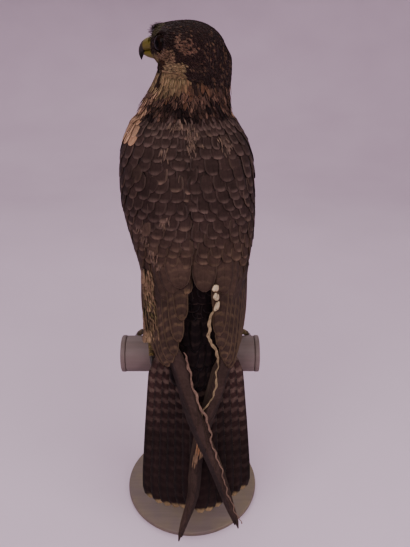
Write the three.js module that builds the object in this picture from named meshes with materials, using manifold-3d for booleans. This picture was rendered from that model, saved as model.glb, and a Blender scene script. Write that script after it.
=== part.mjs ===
// A peregrine falcon mounted on a T-shaped perch, life size, wings folded and head turned to its left.
// Millimetres. +Z is up, +X is the bird's left and -Y is the way its breast faces.
// The origin is the middle of the round base's underside.

import * as THREE from 'three';
import { mergeVertices } from 'three/addons/utils/BufferGeometryUtils.js';
import Module from 'manifold-3d';

const wasm = await Module();
wasm.setup();

// Driving dimensions of the mount
const GAP = 0.3;
const BASE_RADIUS = 66.5;
const BASE_THICKNESS = 5;
const POST_RADIUS = 8;
const BAR_RADIUS = 16.5;
const BAR_LENGTH = 126;
const BAR_HEIGHT = 164;
const BAR_CAP_LENGTH = 4.5;
const BAR_CAP_RADIUS = 16.9;

// The body's level sections, from the vent to the crown of the neck: middle, half width, depths
const BODY = [
  { at: 192, x: -2, y: 26, half: 6, front: 4, back: 4 },
  { at: 198, x: -2, y: 23, half: 15, front: 10, back: 8 },
  { at: 208, x: -2, y: 17, half: 26, front: 20, back: 14 },
  { at: 225, x: -3, y: 8, half: 35, front: 31, back: 22 },
  { at: 250, x: -4, y: -4, half: 42, front: 42, back: 32 },
  { at: 280, x: -2, y: -16, half: 47, front: 49, back: 39 },
  { at: 310, x: 1, y: -25, half: 50, front: 51, back: 42 },
  { at: 338, x: 2, y: -31, half: 51, front: 48, back: 40 },
  { at: 356, x: 3, y: -35, half: 47, front: 43, back: 35 },
  { at: 371, x: 4, y: -39, half: 41, front: 36, back: 30 },
  { at: 384, x: 2, y: -42, half: 36, front: 31, back: 26 },
  { at: 395, x: -2, y: -45, half: 33, front: 27, back: 24 },
  { at: 407, x: -5, y: -48, half: 31, front: 25, back: 23 },
  { at: 420, x: -6, y: -50, half: 29, front: 20, back: 21 },
  { at: 428, x: -5, y: -50, half: 24, front: 15, back: 16 },
];

// The bed that the folded wings lie on: the body's back, then a shallow roof over the tail
const BED = [
  { at: 10, x: -5, y: 68, half: 52, front: 8, back: 8 },
  { at: 35, x: -5, y: 62, half: 52, front: 8, back: 8 },
  { at: 80, x: -5, y: 51.5, half: 50, front: 8, back: 8 },
  { at: 124, x: -4, y: 41.5, half: 46, front: 8, back: 8 },
  { at: 176, x: -3, y: 28, half: 42.5, front: 12, back: 11.5 },
  { at: 200, x: -2, y: 19, half: 42, front: 18, back: 18 },
  { at: 225, x: -3, y: 8, half: 41, front: 28, back: 25 },
  ...BODY.filter((station) => station.at >= 250 && station.at <= 384),
];

// The left wing's leading and inner edges, and the right wing's: turn from the side towards the back
const LEFT_LEAD = [
  { at: 28, angle: 125 },
  { at: 52, angle: 114 },
  { at: 91, angle: 100 },
  { at: 130, angle: 84 },
  { at: 165, angle: 71 },
  { at: 193, angle: 55 },
  { at: 210, angle: 36 },
  { at: 225, angle: 20 },
  { at: 250, angle: 0 },
  { at: 290, angle: -24 },
  { at: 340, angle: -44 },
  { at: 357, angle: -40 },
  { at: 372, angle: -18 },
];
const LEFT_INNER = [
  { at: 28, angle: 135 },
  { at: 52, angle: 126 },
  { at: 91, angle: 115.5 },
  { at: 130, angle: 101 },
  { at: 153, angle: 93 },
  { at: 176, angle: 87 },
  { at: 197, angle: 84 },
  { at: 225, angle: 85 },
  { at: 250, angle: 89 },
  { at: 310, angle: 92 },
  { at: 340, angle: 90 },
  { at: 360, angle: 74 },
  { at: 372, angle: 48 },
];
const RIGHT_LEAD = [
  { at: 15, angle: 103.5 },
  { at: 35, angle: 96 },
  { at: 59, angle: 87 },
  { at: 95, angle: 82 },
  { at: 126, angle: 72 },
  { at: 150, angle: 61 },
  { at: 178, angle: 47 },
  { at: 206, angle: 12 },
  { at: 225, angle: 2 },
  { at: 250, angle: -8 },
  { at: 290, angle: -26 },
  { at: 340, angle: -44 },
  { at: 357, angle: -40 },
  { at: 372, angle: -18 },
];
const RIGHT_INNER = [
  { at: 15, angle: 111 },
  { at: 40, angle: 108 },
  { at: 55, angle: 104 },
  { at: 78, angle: 97 },
  { at: 95, angle: 94 },
  { at: 117, angle: 87 },
  { at: 144, angle: 77 },
  { at: 165, angle: 68 },
  { at: 190, angle: 63 },
  { at: 209, angle: 71 },
  { at: 228, angle: 69.5 },
  { at: 243, angle: 72 },
  { at: 256, angle: 84 },
  { at: 310, angle: 86 },
  { at: 340, angle: 86 },
  { at: 360, angle: 72 },
  { at: 372, angle: 48 },
];

// Feathers: thickness of a vane, and the breadth of each kind at shares of its length
const VANE = 0.65;
const LONG_OUTLINE = [[0, 0.5], [0.13, 0.85], [0.3, 1], [0.52, 1], [0.72, 0.92], [0.87, 0.7], [1, 0.2]];
const REMEX_OUTLINE = [[0, 0.5], [0.3, 0.9], [0.7, 1], [0.9, 0.74], [1, 0.26]];
const COVERT_OUTLINE = [[0, 0.6], [0.5, 1], [0.84, 0.86], [1, 0.4]];
const TAIL_OUTLINE = [[0, 0.4], [0.22, 0.82], [0.6, 0.96], [0.88, 1], [0.96, 0.85], [1, 0.5]];

// The flight feathers of the hand: each one's tip as a share of the wing's point, and its step inwards
const PRIMARY_WIDTH = 12.5;
const PRIMARY_ROOT = 258;
const PRIMARIES = [
  { tip: 0.985, step: 0 },
  { tip: 1, step: 1.4 },
  { tip: 0.94, step: 2.6 },
  { tip: 0.82, step: 3.6 },
  { tip: 0.7, step: 4.7 },
  { tip: 0.57, step: 5.8 },
];
const PRIMARY_LAYER = 0.95;

// The flight feathers of the arm, from the outermost to the last one beside the midline: each one's tip
const SECONDARY_WIDTH = 12;
const SECONDARY_ROOT = 284;
const SECONDARY_REACH = 104;
const LEFT_SECONDARIES = [
  { height: 203, angle: 50, lift: 5.8 },
  { height: 192, angle: 57, lift: 6.6 },
  { height: 182, angle: 62, lift: 7.2 },
  { height: 184, angle: 69, lift: 7.4 },
  { height: 196, angle: 75, lift: 7.4 },
  { height: 234, angle: 81, lift: 4.4 },
];
const RIGHT_SECONDARIES = [
  { height: 200, angle: 40, lift: 5.8 },
  { height: 186, angle: 46, lift: 6.6 },
  { height: 178, angle: 52, lift: 7.2 },
  { height: 184, angle: 57, lift: 7.4 },
  { height: 203, angle: 62, lift: 7.4 },
  { height: 238, angle: 65, lift: 4.4 },
];

// Tiers of coverts, from the flight feathers up to the shoulder, and the scapulars beside the midline
const COVERT_TIERS = [
  { count: 5, root: 296, tip: 254, width: 19, from: 0.12, to: 0.78, stand: 2.4 },
  { count: 5, root: 320, tip: 282, width: 20, from: 0.1, to: 0.76, stand: 1 },
  { count: 5, root: 344, tip: 309, width: 20, from: 0.1, to: 0.74, stand: 1 },
];
const SCAPULAR_TIERS = [
  { count: 1, root: 298, tip: 262, width: 20, from: 0.86, to: 0.86, stand: 1.6 },
  { count: 2, root: 325, tip: 286, width: 20, from: 0.76, to: 0.92, stand: 1.8 },
  { count: 2, root: 346, tip: 310, width: 20, from: 0.74, to: 0.9, stand: 1.9 },
  { count: 3, root: 364, tip: 333, width: 20, from: 0.45, to: 0.9, stand: 1.6 },
];
const MIDLINE = -3.5;
const MIDLINE_FOOT = 232;

// The padded arm of the folded wing: its ends, and its thickness at its foot, its middle and the shoulder
const ARM = { top: 372, foot: 238, low: 2.4, full: 5.6, high: 3 };

// The head, in its own axes: x to the bill, y to its left, z up
const HEAD_PLACE = new THREE.Vector3(3, -51, 423);
const HEAD_TURN = 55;
const HEAD_NOD = -1;
const HEAD = [
  { at: -35, half: 6, up: 5, down: 9 },
  { at: -32, half: 13, up: 10, down: 15 },
  { at: -24, half: 19, up: 16.5, down: 19 },
  { at: -12, half: 22.5, up: 20.5, down: 21 },
  { at: 0, half: 23, up: 21, down: 20.5 },
  { at: 10, half: 21, up: 20.3, down: 18.5 },
  { at: 18, half: 17.8, up: 19.2, down: 16.5 },
  { at: 24, half: 14, up: 18, down: 14 },
  { at: 28.5, half: 10.8, up: 15.2, down: 12 },
];
const EYE_PLACE = new THREE.Vector3(11, 12.2, 3.4);
const EYE_RADIUS = 8;
const EYE_OPENING = 6.3;
const EYE_TURN = 14;
const LID_THICKNESS = 1.1;

// The upper bill from the cere to the hook: middle, slope, half width, depth above and below
const UPPER_BILL = [
  { at: 0, x: 25, z: 1, slope: 0, half: 9, up: 7, down: 5.2 },
  { at: 1, x: 31, z: 1.5, slope: -6, half: 8, up: 6.7, down: 5 },
  { at: 2, x: 36, z: 0.8, slope: -16, half: 6.8, up: 6.1, down: 4.6 },
  { at: 3, x: 40.4, z: -0.7, slope: -32, half: 5.4, up: 5.3, down: 3.9 },
  { at: 4, x: 43.9, z: -3.4, slope: -52, half: 3.9, up: 4, down: 3 },
  { at: 5, x: 45.7, z: -6.6, slope: -74, half: 2.5, up: 2.6, down: 2.2 },
  { at: 6, x: 46.1, z: -9.6, slope: -92, half: 1.2, up: 1.2, down: 1.1 },
  { at: 7, x: 45.8, z: -11.6, slope: -100, half: 0.4, up: 0.4, down: 0.4 },
];
const LOWER_BILL = [
  { at: 0, x: 24, z: -7.2, slope: 0, half: 7.6, up: 2.7, down: 3.3 },
  { at: 1, x: 31, z: -7.2, slope: 0, half: 6.6, up: 2.5, down: 3 },
  { at: 2, x: 37, z: -7.3, slope: -3, half: 5.1, up: 2, down: 2.3 },
  { at: 3, x: 40.6, z: -7.4, slope: -4, half: 3.7, up: 1.3, down: 1.3 },
  { at: 4, x: 42, z: -7.5, slope: 0, half: 2.6, up: 0.7, down: 0.7 },
];
const NOSTRIL = { x: 31.5, y: 6.4, z: 4, radius: 1.3, depth: 1.6, lean: 32 };
const TOOTH = { x: 40.6, y: 3.7, z: -4.6, width: 2.4, depth: 1.5 };
const GAPE = { x: 22, y: 12.6, z: -4.6, length: 17, height: 1, depth: 2.2, turn: 36, drop: 6 };
const BROW = { x: 11.5, y: 15.8, z: 10.6, length: 15, width: 4.4, height: 2.4, lean: 24, drop: 8, turn: 12 };

// Where head, neck and body are parted: the height of each cut at x = 0, and its slope along X
const HEAD_CUT = { height: 402, slope: 0.16 };
const NECK_CUT = { height: 374, slope: 0 };

// Legs and feet, for the left side; the right is its mirror about the body's middle
const LEG_MIDDLE = -2;
const THIGH = [
  { at: 203, x: 34.5, y: -1, half: 6, front: 6, back: 6 },
  { at: 210, x: 33.5, y: -2, half: 8.5, front: 9, back: 8 },
  { at: 222, x: 31, y: -6, half: 11.5, front: 14, back: 11 },
  { at: 236, x: 27.5, y: -12, half: 15, front: 18, back: 14 },
  { at: 250, x: 24, y: -18, half: 16, front: 18, back: 14 },
];
const TARSUS_TOP = new THREE.Vector3(34.5, -1, 202.6);
const TARSUS_FOOT = new THREE.Vector3(35.5, -2.5, 184);
const TARSUS_RADIUS = 3.6;
const ANKLE_CUT = { height: 186.3, slope: 0 };
const TOE_RADIUS = 3.3;
const TOE_PADS = 3;
const CLAW_RADIUS = 2.3;
const CLAW_LENGTH = 15;
const CLAW_ARCH = 2.6;

// Each toe lies round the bar: its places along the bar, and its turns from the bar's top to its front
const TOES = [
  { name: 'inner', from: 32, to: 21, start: 8, end: 92 },
  { name: 'middle', from: 36, to: 38, start: 12, end: 118 },
  { name: 'outer', from: 39, to: 49, start: 4, end: 58 },
  { name: 'hind', from: 35, to: 34, start: -10, end: -62 },
];

// The tail: twelve feathers from the left to the right, and their coverts above and below
const TAIL_MIDDLE = -5.3;
const TAIL_ROOT_HEIGHT = 216;
const TAIL_ROOT_Y = 27;
const TAIL_SLOPE = 0.214;
const TAIL_HALF_SPREAD = 41.5;
const TAIL_FEATHER_WIDTH = 19;
const TAIL_LAYER = 0.95;
const TAIL_TIPS = [44, 39, 37, 36, 36, 37, 32, 33, 37, 42, 47, 53];
const TAIL_CORE = [
  { at: 186, x: -4.3, y: 31, half: 14, front: 3, back: 1.2 },
  { at: 200, x: -3.3, y: 28, half: 18, front: 8, back: 3 },
  { at: 214, x: -3.3, y: 22, half: 20, front: 10, back: 9 },
  { at: 228, x: -3.3, y: 17, half: 18, front: 10, back: 9 },
];
// How far the fan is open at its root, and the share of its spread that it still gains towards the tips
const FAN = { root: 0.24, late: 0.27 };
const UPPER_TAIL_COVERTS = { count: 5, root: 214, tip: 158, spread: 16, width: 15, out: 0.6, bow: 14 };
const UNDER_TAIL_COVERTS = { count: 5, root: 206, tip: 128, spread: 22, width: 17, out: -6.6, bow: 14 };

const FINISH = {
  plumage: { color: 0x3b2e29, roughness: 0.85, metalness: 0 },
  pale_plumage: { color: 0xb9a27e, roughness: 0.9, metalness: 0 },
  horn: { color: 0x3a3734, roughness: 0.4, metalness: 0 },
  skin: { color: 0xa8963c, roughness: 0.6, metalness: 0 },
  eye: { color: 0x140c08, roughness: 0.05, metalness: 0 },
  paint: { color: 0x7d736b, roughness: 0.7, metalness: 0 },
};

const { clamp, degToRad, lerp } = THREE.MathUtils;
const point = (x, y, z) => new THREE.Vector3(x, y, z);

// Every field of a station table at one place along it, on a smooth curve through the stations
function stationAt(table, place) {
  const last = table.length - 1;
  let low = 0;
  while (low < last - 1 && table[low + 1].at <= place) low += 1;
  const a = table[low];
  const b = table[low + 1];
  const before = table[Math.max(low - 1, 0)];
  const after = table[Math.min(low + 2, last)];
  const span = b.at - a.at;
  const t = clamp((place - a.at) / span, 0, 1);
  const station = {};
  for (const key of Object.keys(a)) {
    const leave = (span * (b[key] - before[key])) / (b.at - before.at);
    const arrive = (span * (after[key] - a[key])) / (after.at - a.at);
    station[key] = a[key] * (2 * t ** 3 - 3 * t ** 2 + 1) + leave * (t ** 3 - 2 * t ** 2 + t)
      + b[key] * (3 * t ** 2 - 2 * t ** 3) + arrive * (t ** 3 - t ** 2);
  }
  return station;
}

// A point of a level section: turned from +X towards the back, and lifted off the surface
function sectionPoint(table, height, degrees, lift = 0) {
  const section = stationAt(table, height);
  const angle = degToRad(degrees);
  const depth = Math.sin(angle) > 0 ? section.back : section.front;
  return point(
    section.x + (section.half + lift) * Math.cos(angle),
    section.y + (depth + lift) * Math.sin(angle),
    height,
  );
}

function indexed(points, faces) {
  const geometry = new THREE.BufferGeometry();
  geometry.setAttribute('position', new THREE.Float32BufferAttribute(points.flatMap((p) => p.toArray()), 3));
  geometry.setIndex(faces.flat());
  return geometry;
}

// A closed skin through rings of points, with a fan over each end
function loft(rings) {
  const count = rings[0].length;
  const points = rings.flat();
  const faces = [];
  for (let ring = 0; ring < rings.length - 1; ring += 1) {
    for (let side = 0; side < count; side += 1) {
      const next = (side + 1) % count;
      const a = ring * count + side;
      const b = ring * count + next;
      faces.push([a, b, b + count], [a, b + count, a + count]);
    }
  }
  for (const [ring, turned] of [[0, true], [rings.length - 1, false]]) {
    const middle = points.length;
    points.push(rings[ring].reduce((sum, p) => sum.add(p), point(0, 0, 0)).divideScalar(count));
    for (let side = 0; side < count; side += 1) {
      const a = ring * count + side;
      const b = ring * count + ((side + 1) % count);
      faces.push(turned ? [b, a, middle] : [a, b, middle]);
    }
  }
  return indexed(points, faces);
}

// A closed thick sheet between two grids of points, split into triangles alike on both faces
function sheet(outer, inner) {
  const rows = outer.length;
  const columns = outer[0].length;
  const points = [...outer.flat(), ...inner.flat()];
  const under = rows * columns;
  const at = (row, column) => row * columns + column;
  const faces = [];
  const wall = (a, b) => faces.push([a, b, b + under], [a, b + under, a + under]);
  for (let row = 0; row < rows - 1; row += 1) {
    for (let column = 0; column < columns - 1; column += 1) {
      const a = at(row, column);
      const b = at(row, column + 1);
      const c = at(row + 1, column + 1);
      const d = at(row + 1, column);
      faces.push([a, c, b], [a, d, c]);
      faces.push([a + under, b + under, c + under], [a + under, c + under, d + under]);
    }
    wall(at(row + 1, 0), at(row, 0));
    wall(at(row, columns - 1), at(row + 1, columns - 1));
  }
  for (let column = 0; column < columns - 1; column += 1) {
    wall(at(0, column), at(0, column + 1));
    wall(at(rows - 1, column + 1), at(rows - 1, column));
  }
  return indexed(points, faces);
}

function solid(geometry) {
  const bare = geometry.clone();
  bare.deleteAttribute('normal');
  bare.deleteAttribute('uv');
  const merged = mergeVertices(bare, 1e-4);
  const make = (triVerts) => new wasm.Manifold(new wasm.Mesh({
    numProp: 3,
    vertProperties: new Float32Array(merged.attributes.position.array),
    triVerts,
  }));
  const triangles = new Uint32Array(merged.index.array);
  const made = make(triangles);
  return made.volume() > 0 ? made : make(triangles.reverse());
}

function joined(solids) {
  return solids.reduce((whole, piece) => whole.add(piece));
}

function cutBy(whole, cutters) {
  return cutters.reduce((rest, cutter) => rest.subtract(cutter), whole);
}

function largest(whole) {
  const pieces = whole.decompose();
  return pieces.reduce((best, piece) => (piece.volume() > best.volume() ? piece : best));
}

const falcon = new THREE.Group();

function addNode(name, body, finish) {
  const mesh = largest(body).getMesh();
  const geometry = new THREE.BufferGeometry();
  geometry.setAttribute('position', new THREE.BufferAttribute(new Float32Array(mesh.vertProperties), 3));
  geometry.setIndex(new THREE.BufferAttribute(new Uint32Array(mesh.triVerts), 1));
  geometry.computeVertexNormals();
  const node = new THREE.Mesh(geometry, new THREE.MeshStandardMaterial(FINISH[finish]));
  node.name = name;
  falcon.add(node);
}

// A level-sectioned body between two heights, lifted off its surface by a small amount for a cutter
function sectioned(table, sides, steps, lift = 0) {
  const bottom = table[0].at - lift;
  const top = table[table.length - 1].at + lift;
  const rings = [];
  for (let step = 0; step <= steps; step += 1) {
    const height = lerp(bottom, top, step / steps);
    const ring = [];
    for (let side = 0; side < sides; side += 1) {
      const place = sectionPoint(table, height, (360 * side) / sides, lift);
      ring.push(place);
    }
    rings.push(ring);
  }
  return loft(rings);
}

function mirrored(geometry, middle) {
  const matrix = new THREE.Matrix4().makeScale(-1, 1, 1).setPosition(2 * middle, 0, 0);
  return geometry.clone().applyMatrix4(matrix);
}

function movedBox(width, depth, height, x, y, z) {
  return new THREE.BoxGeometry(width, depth, height).translate(x, y, z);
}

// A round rod along X
function rodAlongX(radius, length, x, y, z, sides) {
  return new THREE.CylinderGeometry(radius, radius, length, sides).rotateZ(Math.PI / 2).translate(x, y, z);
}

// Everything above or below a slanting cut
function halfSpace(cut, above, shift) {
  const size = 600;
  const box = new THREE.BoxGeometry(size, size, size).translate(0, 0, above ? size / 2 : -size / 2);
  box.rotateY(-Math.atan(cut.slope));
  return solid(box.translate(0, 0, cut.height + shift));
}

// The head's own axes in the mount's frame
const HEAD_MATRIX = new THREE.Matrix4().makeTranslation(HEAD_PLACE)
  .multiply(new THREE.Matrix4().makeRotationZ(degToRad(HEAD_TURN - 90)))
  .multiply(new THREE.Matrix4().makeRotationY(degToRad(HEAD_NOD)));

function headSkin() {
  const sides = 20;
  const steps = 12;
  const rings = [];
  for (let step = 0; step <= steps; step += 1) {
    const along = lerp(HEAD[0].at, HEAD[HEAD.length - 1].at, step / steps);
    const section = stationAt(HEAD, along);
    const ring = [];
    for (let side = 0; side < sides; side += 1) {
      const angle = (2 * Math.PI * side) / sides;
      const rise = Math.sin(angle) > 0 ? section.up : section.down;
      ring.push(point(along, section.half * Math.cos(angle), rise * Math.sin(angle)));
    }
    rings.push(ring);
  }
  return loft(rings).applyMatrix4(HEAD_MATRIX);
}

function billSkin(table, sides, steps, lift = 0) {
  const rings = [];
  for (let step = 0; step <= steps; step += 1) {
    const section = stationAt(table, (step / steps) * (table.length - 1));
    const slope = degToRad(section.slope);
    const ring = [];
    for (let side = 0; side < sides; side += 1) {
      const angle = (2 * Math.PI * side) / sides;
      const rise = (Math.sin(angle) > 0 ? section.up : section.down) + lift;
      const across = (section.half + lift) * Math.cos(angle);
      const up = rise * Math.sin(angle);
      ring.push(point(section.x - up * Math.sin(slope), across, section.z + up * Math.cos(slope)));
    }
    rings.push(ring);
  }
  return loft(rings).applyMatrix4(HEAD_MATRIX);
}

function eyeBall(side, radius) {
  const ball = new THREE.SphereGeometry(radius, 14, 9).rotateX(Math.PI / 2);
  return ball.translate(EYE_PLACE.x, side * EYE_PLACE.y, EYE_PLACE.z).applyMatrix4(HEAD_MATRIX);
}

function eyeOpening(side) {
  const length = 20;
  const rod = new THREE.CylinderGeometry(EYE_OPENING, EYE_OPENING, length, 14);
  rod.translate(0, (side * length) / 2, 0).rotateZ(side * degToRad(-EYE_TURN));
  return rod.translate(EYE_PLACE.x, side * EYE_PLACE.y, EYE_PLACE.z).applyMatrix4(HEAD_MATRIX);
}

function browRidge(side) {
  const ridge = new THREE.SphereGeometry(0.5, 8, 5).scale(BROW.length, BROW.width, BROW.height);
  ridge.rotateX(-side * degToRad(BROW.lean)).rotateY(degToRad(BROW.drop));
  ridge.rotateZ(-side * degToRad(BROW.turn));
  return ridge.translate(BROW.x, side * BROW.y, BROW.z).applyMatrix4(HEAD_MATRIX);
}

// The line of the mouth runs back from the bill to under the eye
function gapeGroove(side) {
  const groove = new THREE.SphereGeometry(0.5, 8, 4).scale(GAPE.length, 2 * GAPE.depth, GAPE.height);
  groove.rotateZ(-side * degToRad(GAPE.turn)).rotateY(-degToRad(GAPE.drop));
  return groove.translate(GAPE.x, side * GAPE.y, GAPE.z).applyMatrix4(HEAD_MATRIX);
}

function nostril(side) {
  const hole = new THREE.CylinderGeometry(NOSTRIL.radius, NOSTRIL.radius, 2 * NOSTRIL.depth, 8);
  hole.rotateX(-side * degToRad(NOSTRIL.lean));
  return hole.translate(NOSTRIL.x, side * NOSTRIL.y, NOSTRIL.z).applyMatrix4(HEAD_MATRIX);
}

// The notched cutting edge of a falcon's bill
function billTooth(side) {
  const tooth = new THREE.ConeGeometry(TOOTH.width / 2, 2 * TOOTH.depth, 6).rotateX(-Math.PI / 2);
  tooth.scale(1, 0.6, 1);
  return tooth.translate(TOOTH.x, side * TOOTH.y, TOOTH.z).applyMatrix4(HEAD_MATRIX);
}

function buildHeadAndBody() {
  const whole = joined([solid(sectioned(BODY, 24, 20)), solid(headSkin())]);
  const upper = solid(billSkin(UPPER_BILL, 14, 12));
  const lower = solid(billSkin(LOWER_BILL, 12, 8));
  let head = whole.intersect(halfSpace(HEAD_CUT, true, GAP / 2));
  for (const side of [1, -1]) {
    head = joined([head, solid(eyeBall(side, EYE_RADIUS + GAP + LID_THICKNESS)), solid(browRidge(side))]);
    head = cutBy(head, [solid(eyeBall(side, EYE_RADIUS + GAP)), solid(eyeOpening(side))]);
  }
  head = cutBy(head, [solid(billSkin(UPPER_BILL, 14, 12, GAP)), solid(billSkin(LOWER_BILL, 12, 8, GAP))]);
  head = cutBy(head, [1, -1].map((side) => solid(gapeGroove(side))));
  addNode('head', head, 'plumage');
  const toothed = joined([upper, ...[1, -1].map((side) => solid(billTooth(side)))]);
  addNode('upper_bill', cutBy(toothed, [1, -1].map((side) => solid(nostril(side)))), 'horn');
  addNode('lower_bill', lower.subtract(solid(billSkin(UPPER_BILL, 14, 12, GAP))), 'horn');
  addNode('eye_left', solid(eyeBall(1, EYE_RADIUS)), 'eye');
  addNode('eye_right', solid(eyeBall(-1, EYE_RADIUS)), 'eye');
  const belowHead = whole.intersect(halfSpace(HEAD_CUT, false, -GAP / 2));
  addNode('neck', belowHead.intersect(halfSpace(NECK_CUT, true, GAP / 2)), 'plumage');
  addNode('torso', belowHead.intersect(halfSpace(NECK_CUT, false, -GAP / 2)), 'plumage');
}

function smoothStep(from, to, value) {
  const t = clamp((value - from) / (to - from), 0, 1);
  return t * t * (3 - 2 * t);
}

// The same small, repeatable variations on every build
let seed = 20251;
function vary(amount) {
  seed = (seed * 16807) % 2147483647;
  return amount * (2 * (seed / 2147483647) - 1);
}

function breadthAt(outline, share) {
  const next = Math.max(1, outline.findIndex(([end]) => end >= share));
  const [from, narrow] = outline[next - 1];
  const [to, broad] = outline[next];
  return lerp(narrow, broad, clamp((share - from) / (to - from), 0, 1));
}

// One vane: a thin blade through frames along its shaft, each with its middle, breadth way and face way
function vane(frameAt, outline, width) {
  const over = [];
  const under = [];
  for (const [share, breadth] of outline) {
    const { middle, across, face } = frameAt(share);
    const half = (width / 2) * breadth;
    const edges = [half, -half].map((away) => middle.clone().addScaledVector(across, away));
    under.push(edges);
    over.push(edges.map((edge) => edge.clone().addScaledVector(face, VANE)));
  }
  return solid(sheet(over, under));
}

// The wings: the right one's angles are turned over, and its points lie under the left one's
const WINGS = {
  left: {
    side: 1,
    lead: LEFT_LEAD,
    inner: LEFT_INNER,
    point: 28,
    secondaries: LEFT_SECONDARIES,
    lift: (height) => GAP + 0.7 + 6.4 * smoothStep(176, 138, height) + 4 * smoothStep(110, 30, height),
  },
  right: {
    side: -1,
    lead: RIGHT_LEAD,
    inner: RIGHT_INNER,
    point: 17,
    secondaries: RIGHT_SECONDARIES,
    lift: (height) => GAP + 0.7 + 9 * smoothStep(100, 20, height),
  },
};

function bedPoint(wing, { height, angle, lift }) {
  return sectionPoint(BED, height, wing.side > 0 ? angle : 180 - angle, lift);
}

function bedNormal(wing, place) {
  const wide = 2;
  const shifted = (height, angle) => (
    bedPoint(wing, { height: place.height + height, angle: place.angle + angle, lift: 0 })
  );
  const round = shifted(0, wide).sub(shifted(0, -wide));
  const up = shifted(wide, 0).sub(shifted(-wide, 0));
  return round.cross(up).multiplyScalar(wing.side).normalize();
}

// The turn of a place at a share of the way from the leading to the inner edge
function acrossWing(wing, height, share) {
  return lerp(stationAt(wing.lead, height).angle, stationAt(wing.inner, height).angle, share);
}

// How thick the wing's core stands over the bed: full in its middle, thin at both edges and at its foot
function coreThickness(wing, height, angle) {
  const first = stationAt(wing.lead, height).angle;
  const last = stationAt(wing.inner, height).angle;
  const share = clamp((angle - first) / (last - first), 0, 1);
  const rising = lerp(ARM.low, ARM.full, smoothStep(230, 310, height));
  const full = rising - (ARM.full - ARM.high) * smoothStep(350, ARM.top, height);
  return full * lerp(0.36, 1, Math.sin(Math.PI * share) ** 0.6);
}

function wingCore(wing) {
  const rows = 8;
  const columns = 7;
  const over = [];
  const under = [];
  for (let row = 0; row <= rows; row += 1) {
    const height = lerp(ARM.top, ARM.foot, row / rows);
    over.push([]);
    under.push([]);
    for (let column = 0; column <= columns; column += 1) {
      const angle = acrossWing(wing, height, column / columns);
      const lift = GAP + (row === 0 ? 0.5 : 1.3);
      over[row].push(bedPoint(wing, { height, angle, lift: lift + coreThickness(wing, height, angle) }));
      under[row].push(bedPoint(wing, { height, angle, lift }));
    }
  }
  return solid(sheet(over, under));
}

// A vane on the wing's bed, along a route of heights, angles and lifts, with its leading edge tilted up
function wingVane(wing, route, outline, width, tilt) {
  const frameAt = (share) => {
    const near = 0.01;
    const here = route(share);
    const before = bedPoint(wing, route(Math.max(share - near, 0)));
    const along = bedPoint(wing, route(Math.min(share + near, 1))).sub(before).normalize();
    const normal = bedNormal(wing, here);
    const leadWay = along.clone().cross(normal).multiplyScalar(wing.side).normalize();
    const turn = degToRad(tilt) * smoothStep(0, 0.7, share);
    return {
      middle: bedPoint(wing, here),
      across: leadWay.clone().multiplyScalar(Math.cos(turn)).addScaledVector(normal, Math.sin(turn)),
      face: normal.clone().multiplyScalar(Math.cos(turn)).addScaledVector(leadWay, -Math.sin(turn)),
    };
  };
  return vane(frameAt, outline, width);
}

function primaries(wing) {
  return PRIMARIES.map((feather, order) => {
    const tip = lerp(PRIMARY_ROOT, wing.point, feather.tip);
    const route = (share) => {
      const height = lerp(PRIMARY_ROOT, tip, share);
      const lead = stationAt(wing.lead, height).angle;
      const perDegree = bedPoint(wing, { height, angle: lead + 8, lift: 4 })
        .distanceTo(bedPoint(wing, { height, angle: lead + 9, lift: 4 }));
      const breadth = PRIMARY_WIDTH * breadthAt(LONG_OUTLINE, share);
      const room = Math.max(0, (stationAt(wing.inner, height).angle - lead) * perDegree - breadth);
      const spread = 1 + 3 * smoothStep(185, 250, height);
      const inward = breadth / 2 + Math.min(feather.step * spread, room);
      const lift = wing.lift(height) + order * lerp(PRIMARY_LAYER, 0.5, smoothStep(225, 256, height));
      return { height, angle: lead + inward / perDegree, lift };
    };
    return wingVane(wing, route, LONG_OUTLINE, PRIMARY_WIDTH, 0);
  });
}

function secondaries(wing) {
  const last = wing.secondaries.length - 1;
  return wing.secondaries.map((tip, order) => {
    const rootAngle = acrossWing(wing, SECONDARY_ROOT, lerp(0.16, 0.86, order / last));
    const rootLift = GAP + 0.5 * coreThickness(wing, SECONDARY_ROOT, rootAngle);
    const route = (share) => ({
      height: lerp(SECONDARY_ROOT, tip.height, share),
      angle: lerp(rootAngle, tip.angle, share),
      lift: lerp(rootLift, tip.lift, ((share * (SECONDARY_ROOT - tip.height)) / SECONDARY_REACH) ** 0.9),
    });
    return wingVane(wing, route, REMEX_OUTLINE, SECONDARY_WIDTH, 9);
  });
}

function coverts(wing, tier) {
  const made = [];
  for (let order = 0; order < tier.count; order += 1) {
    const across = lerp(tier.from, tier.to, tier.count > 1 ? order / (tier.count - 1) : 0);
    const angleAt = (height) => acrossWing(wing, height, across);
    const tip = tier.tip + vary(2.5);
    const rootLift = GAP + 0.5 * coreThickness(wing, tier.root, angleAt(tier.root));
    const stand = tier.stand * (order === 0 ? 0.5 : 1);
    const tipLift = GAP + coreThickness(wing, tip, angleAt(tip)) + stand + VANE;
    const route = (share) => {
      const height = lerp(tier.root, tip, share);
      return { height, angle: angleAt(height), lift: lerp(rootLift, tipLift, share ** 0.7) };
    };
    made.push(wingVane(wing, route, COVERT_OUTLINE, tier.width, 8 + vary(1)));
  }
  return made;
}

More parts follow.
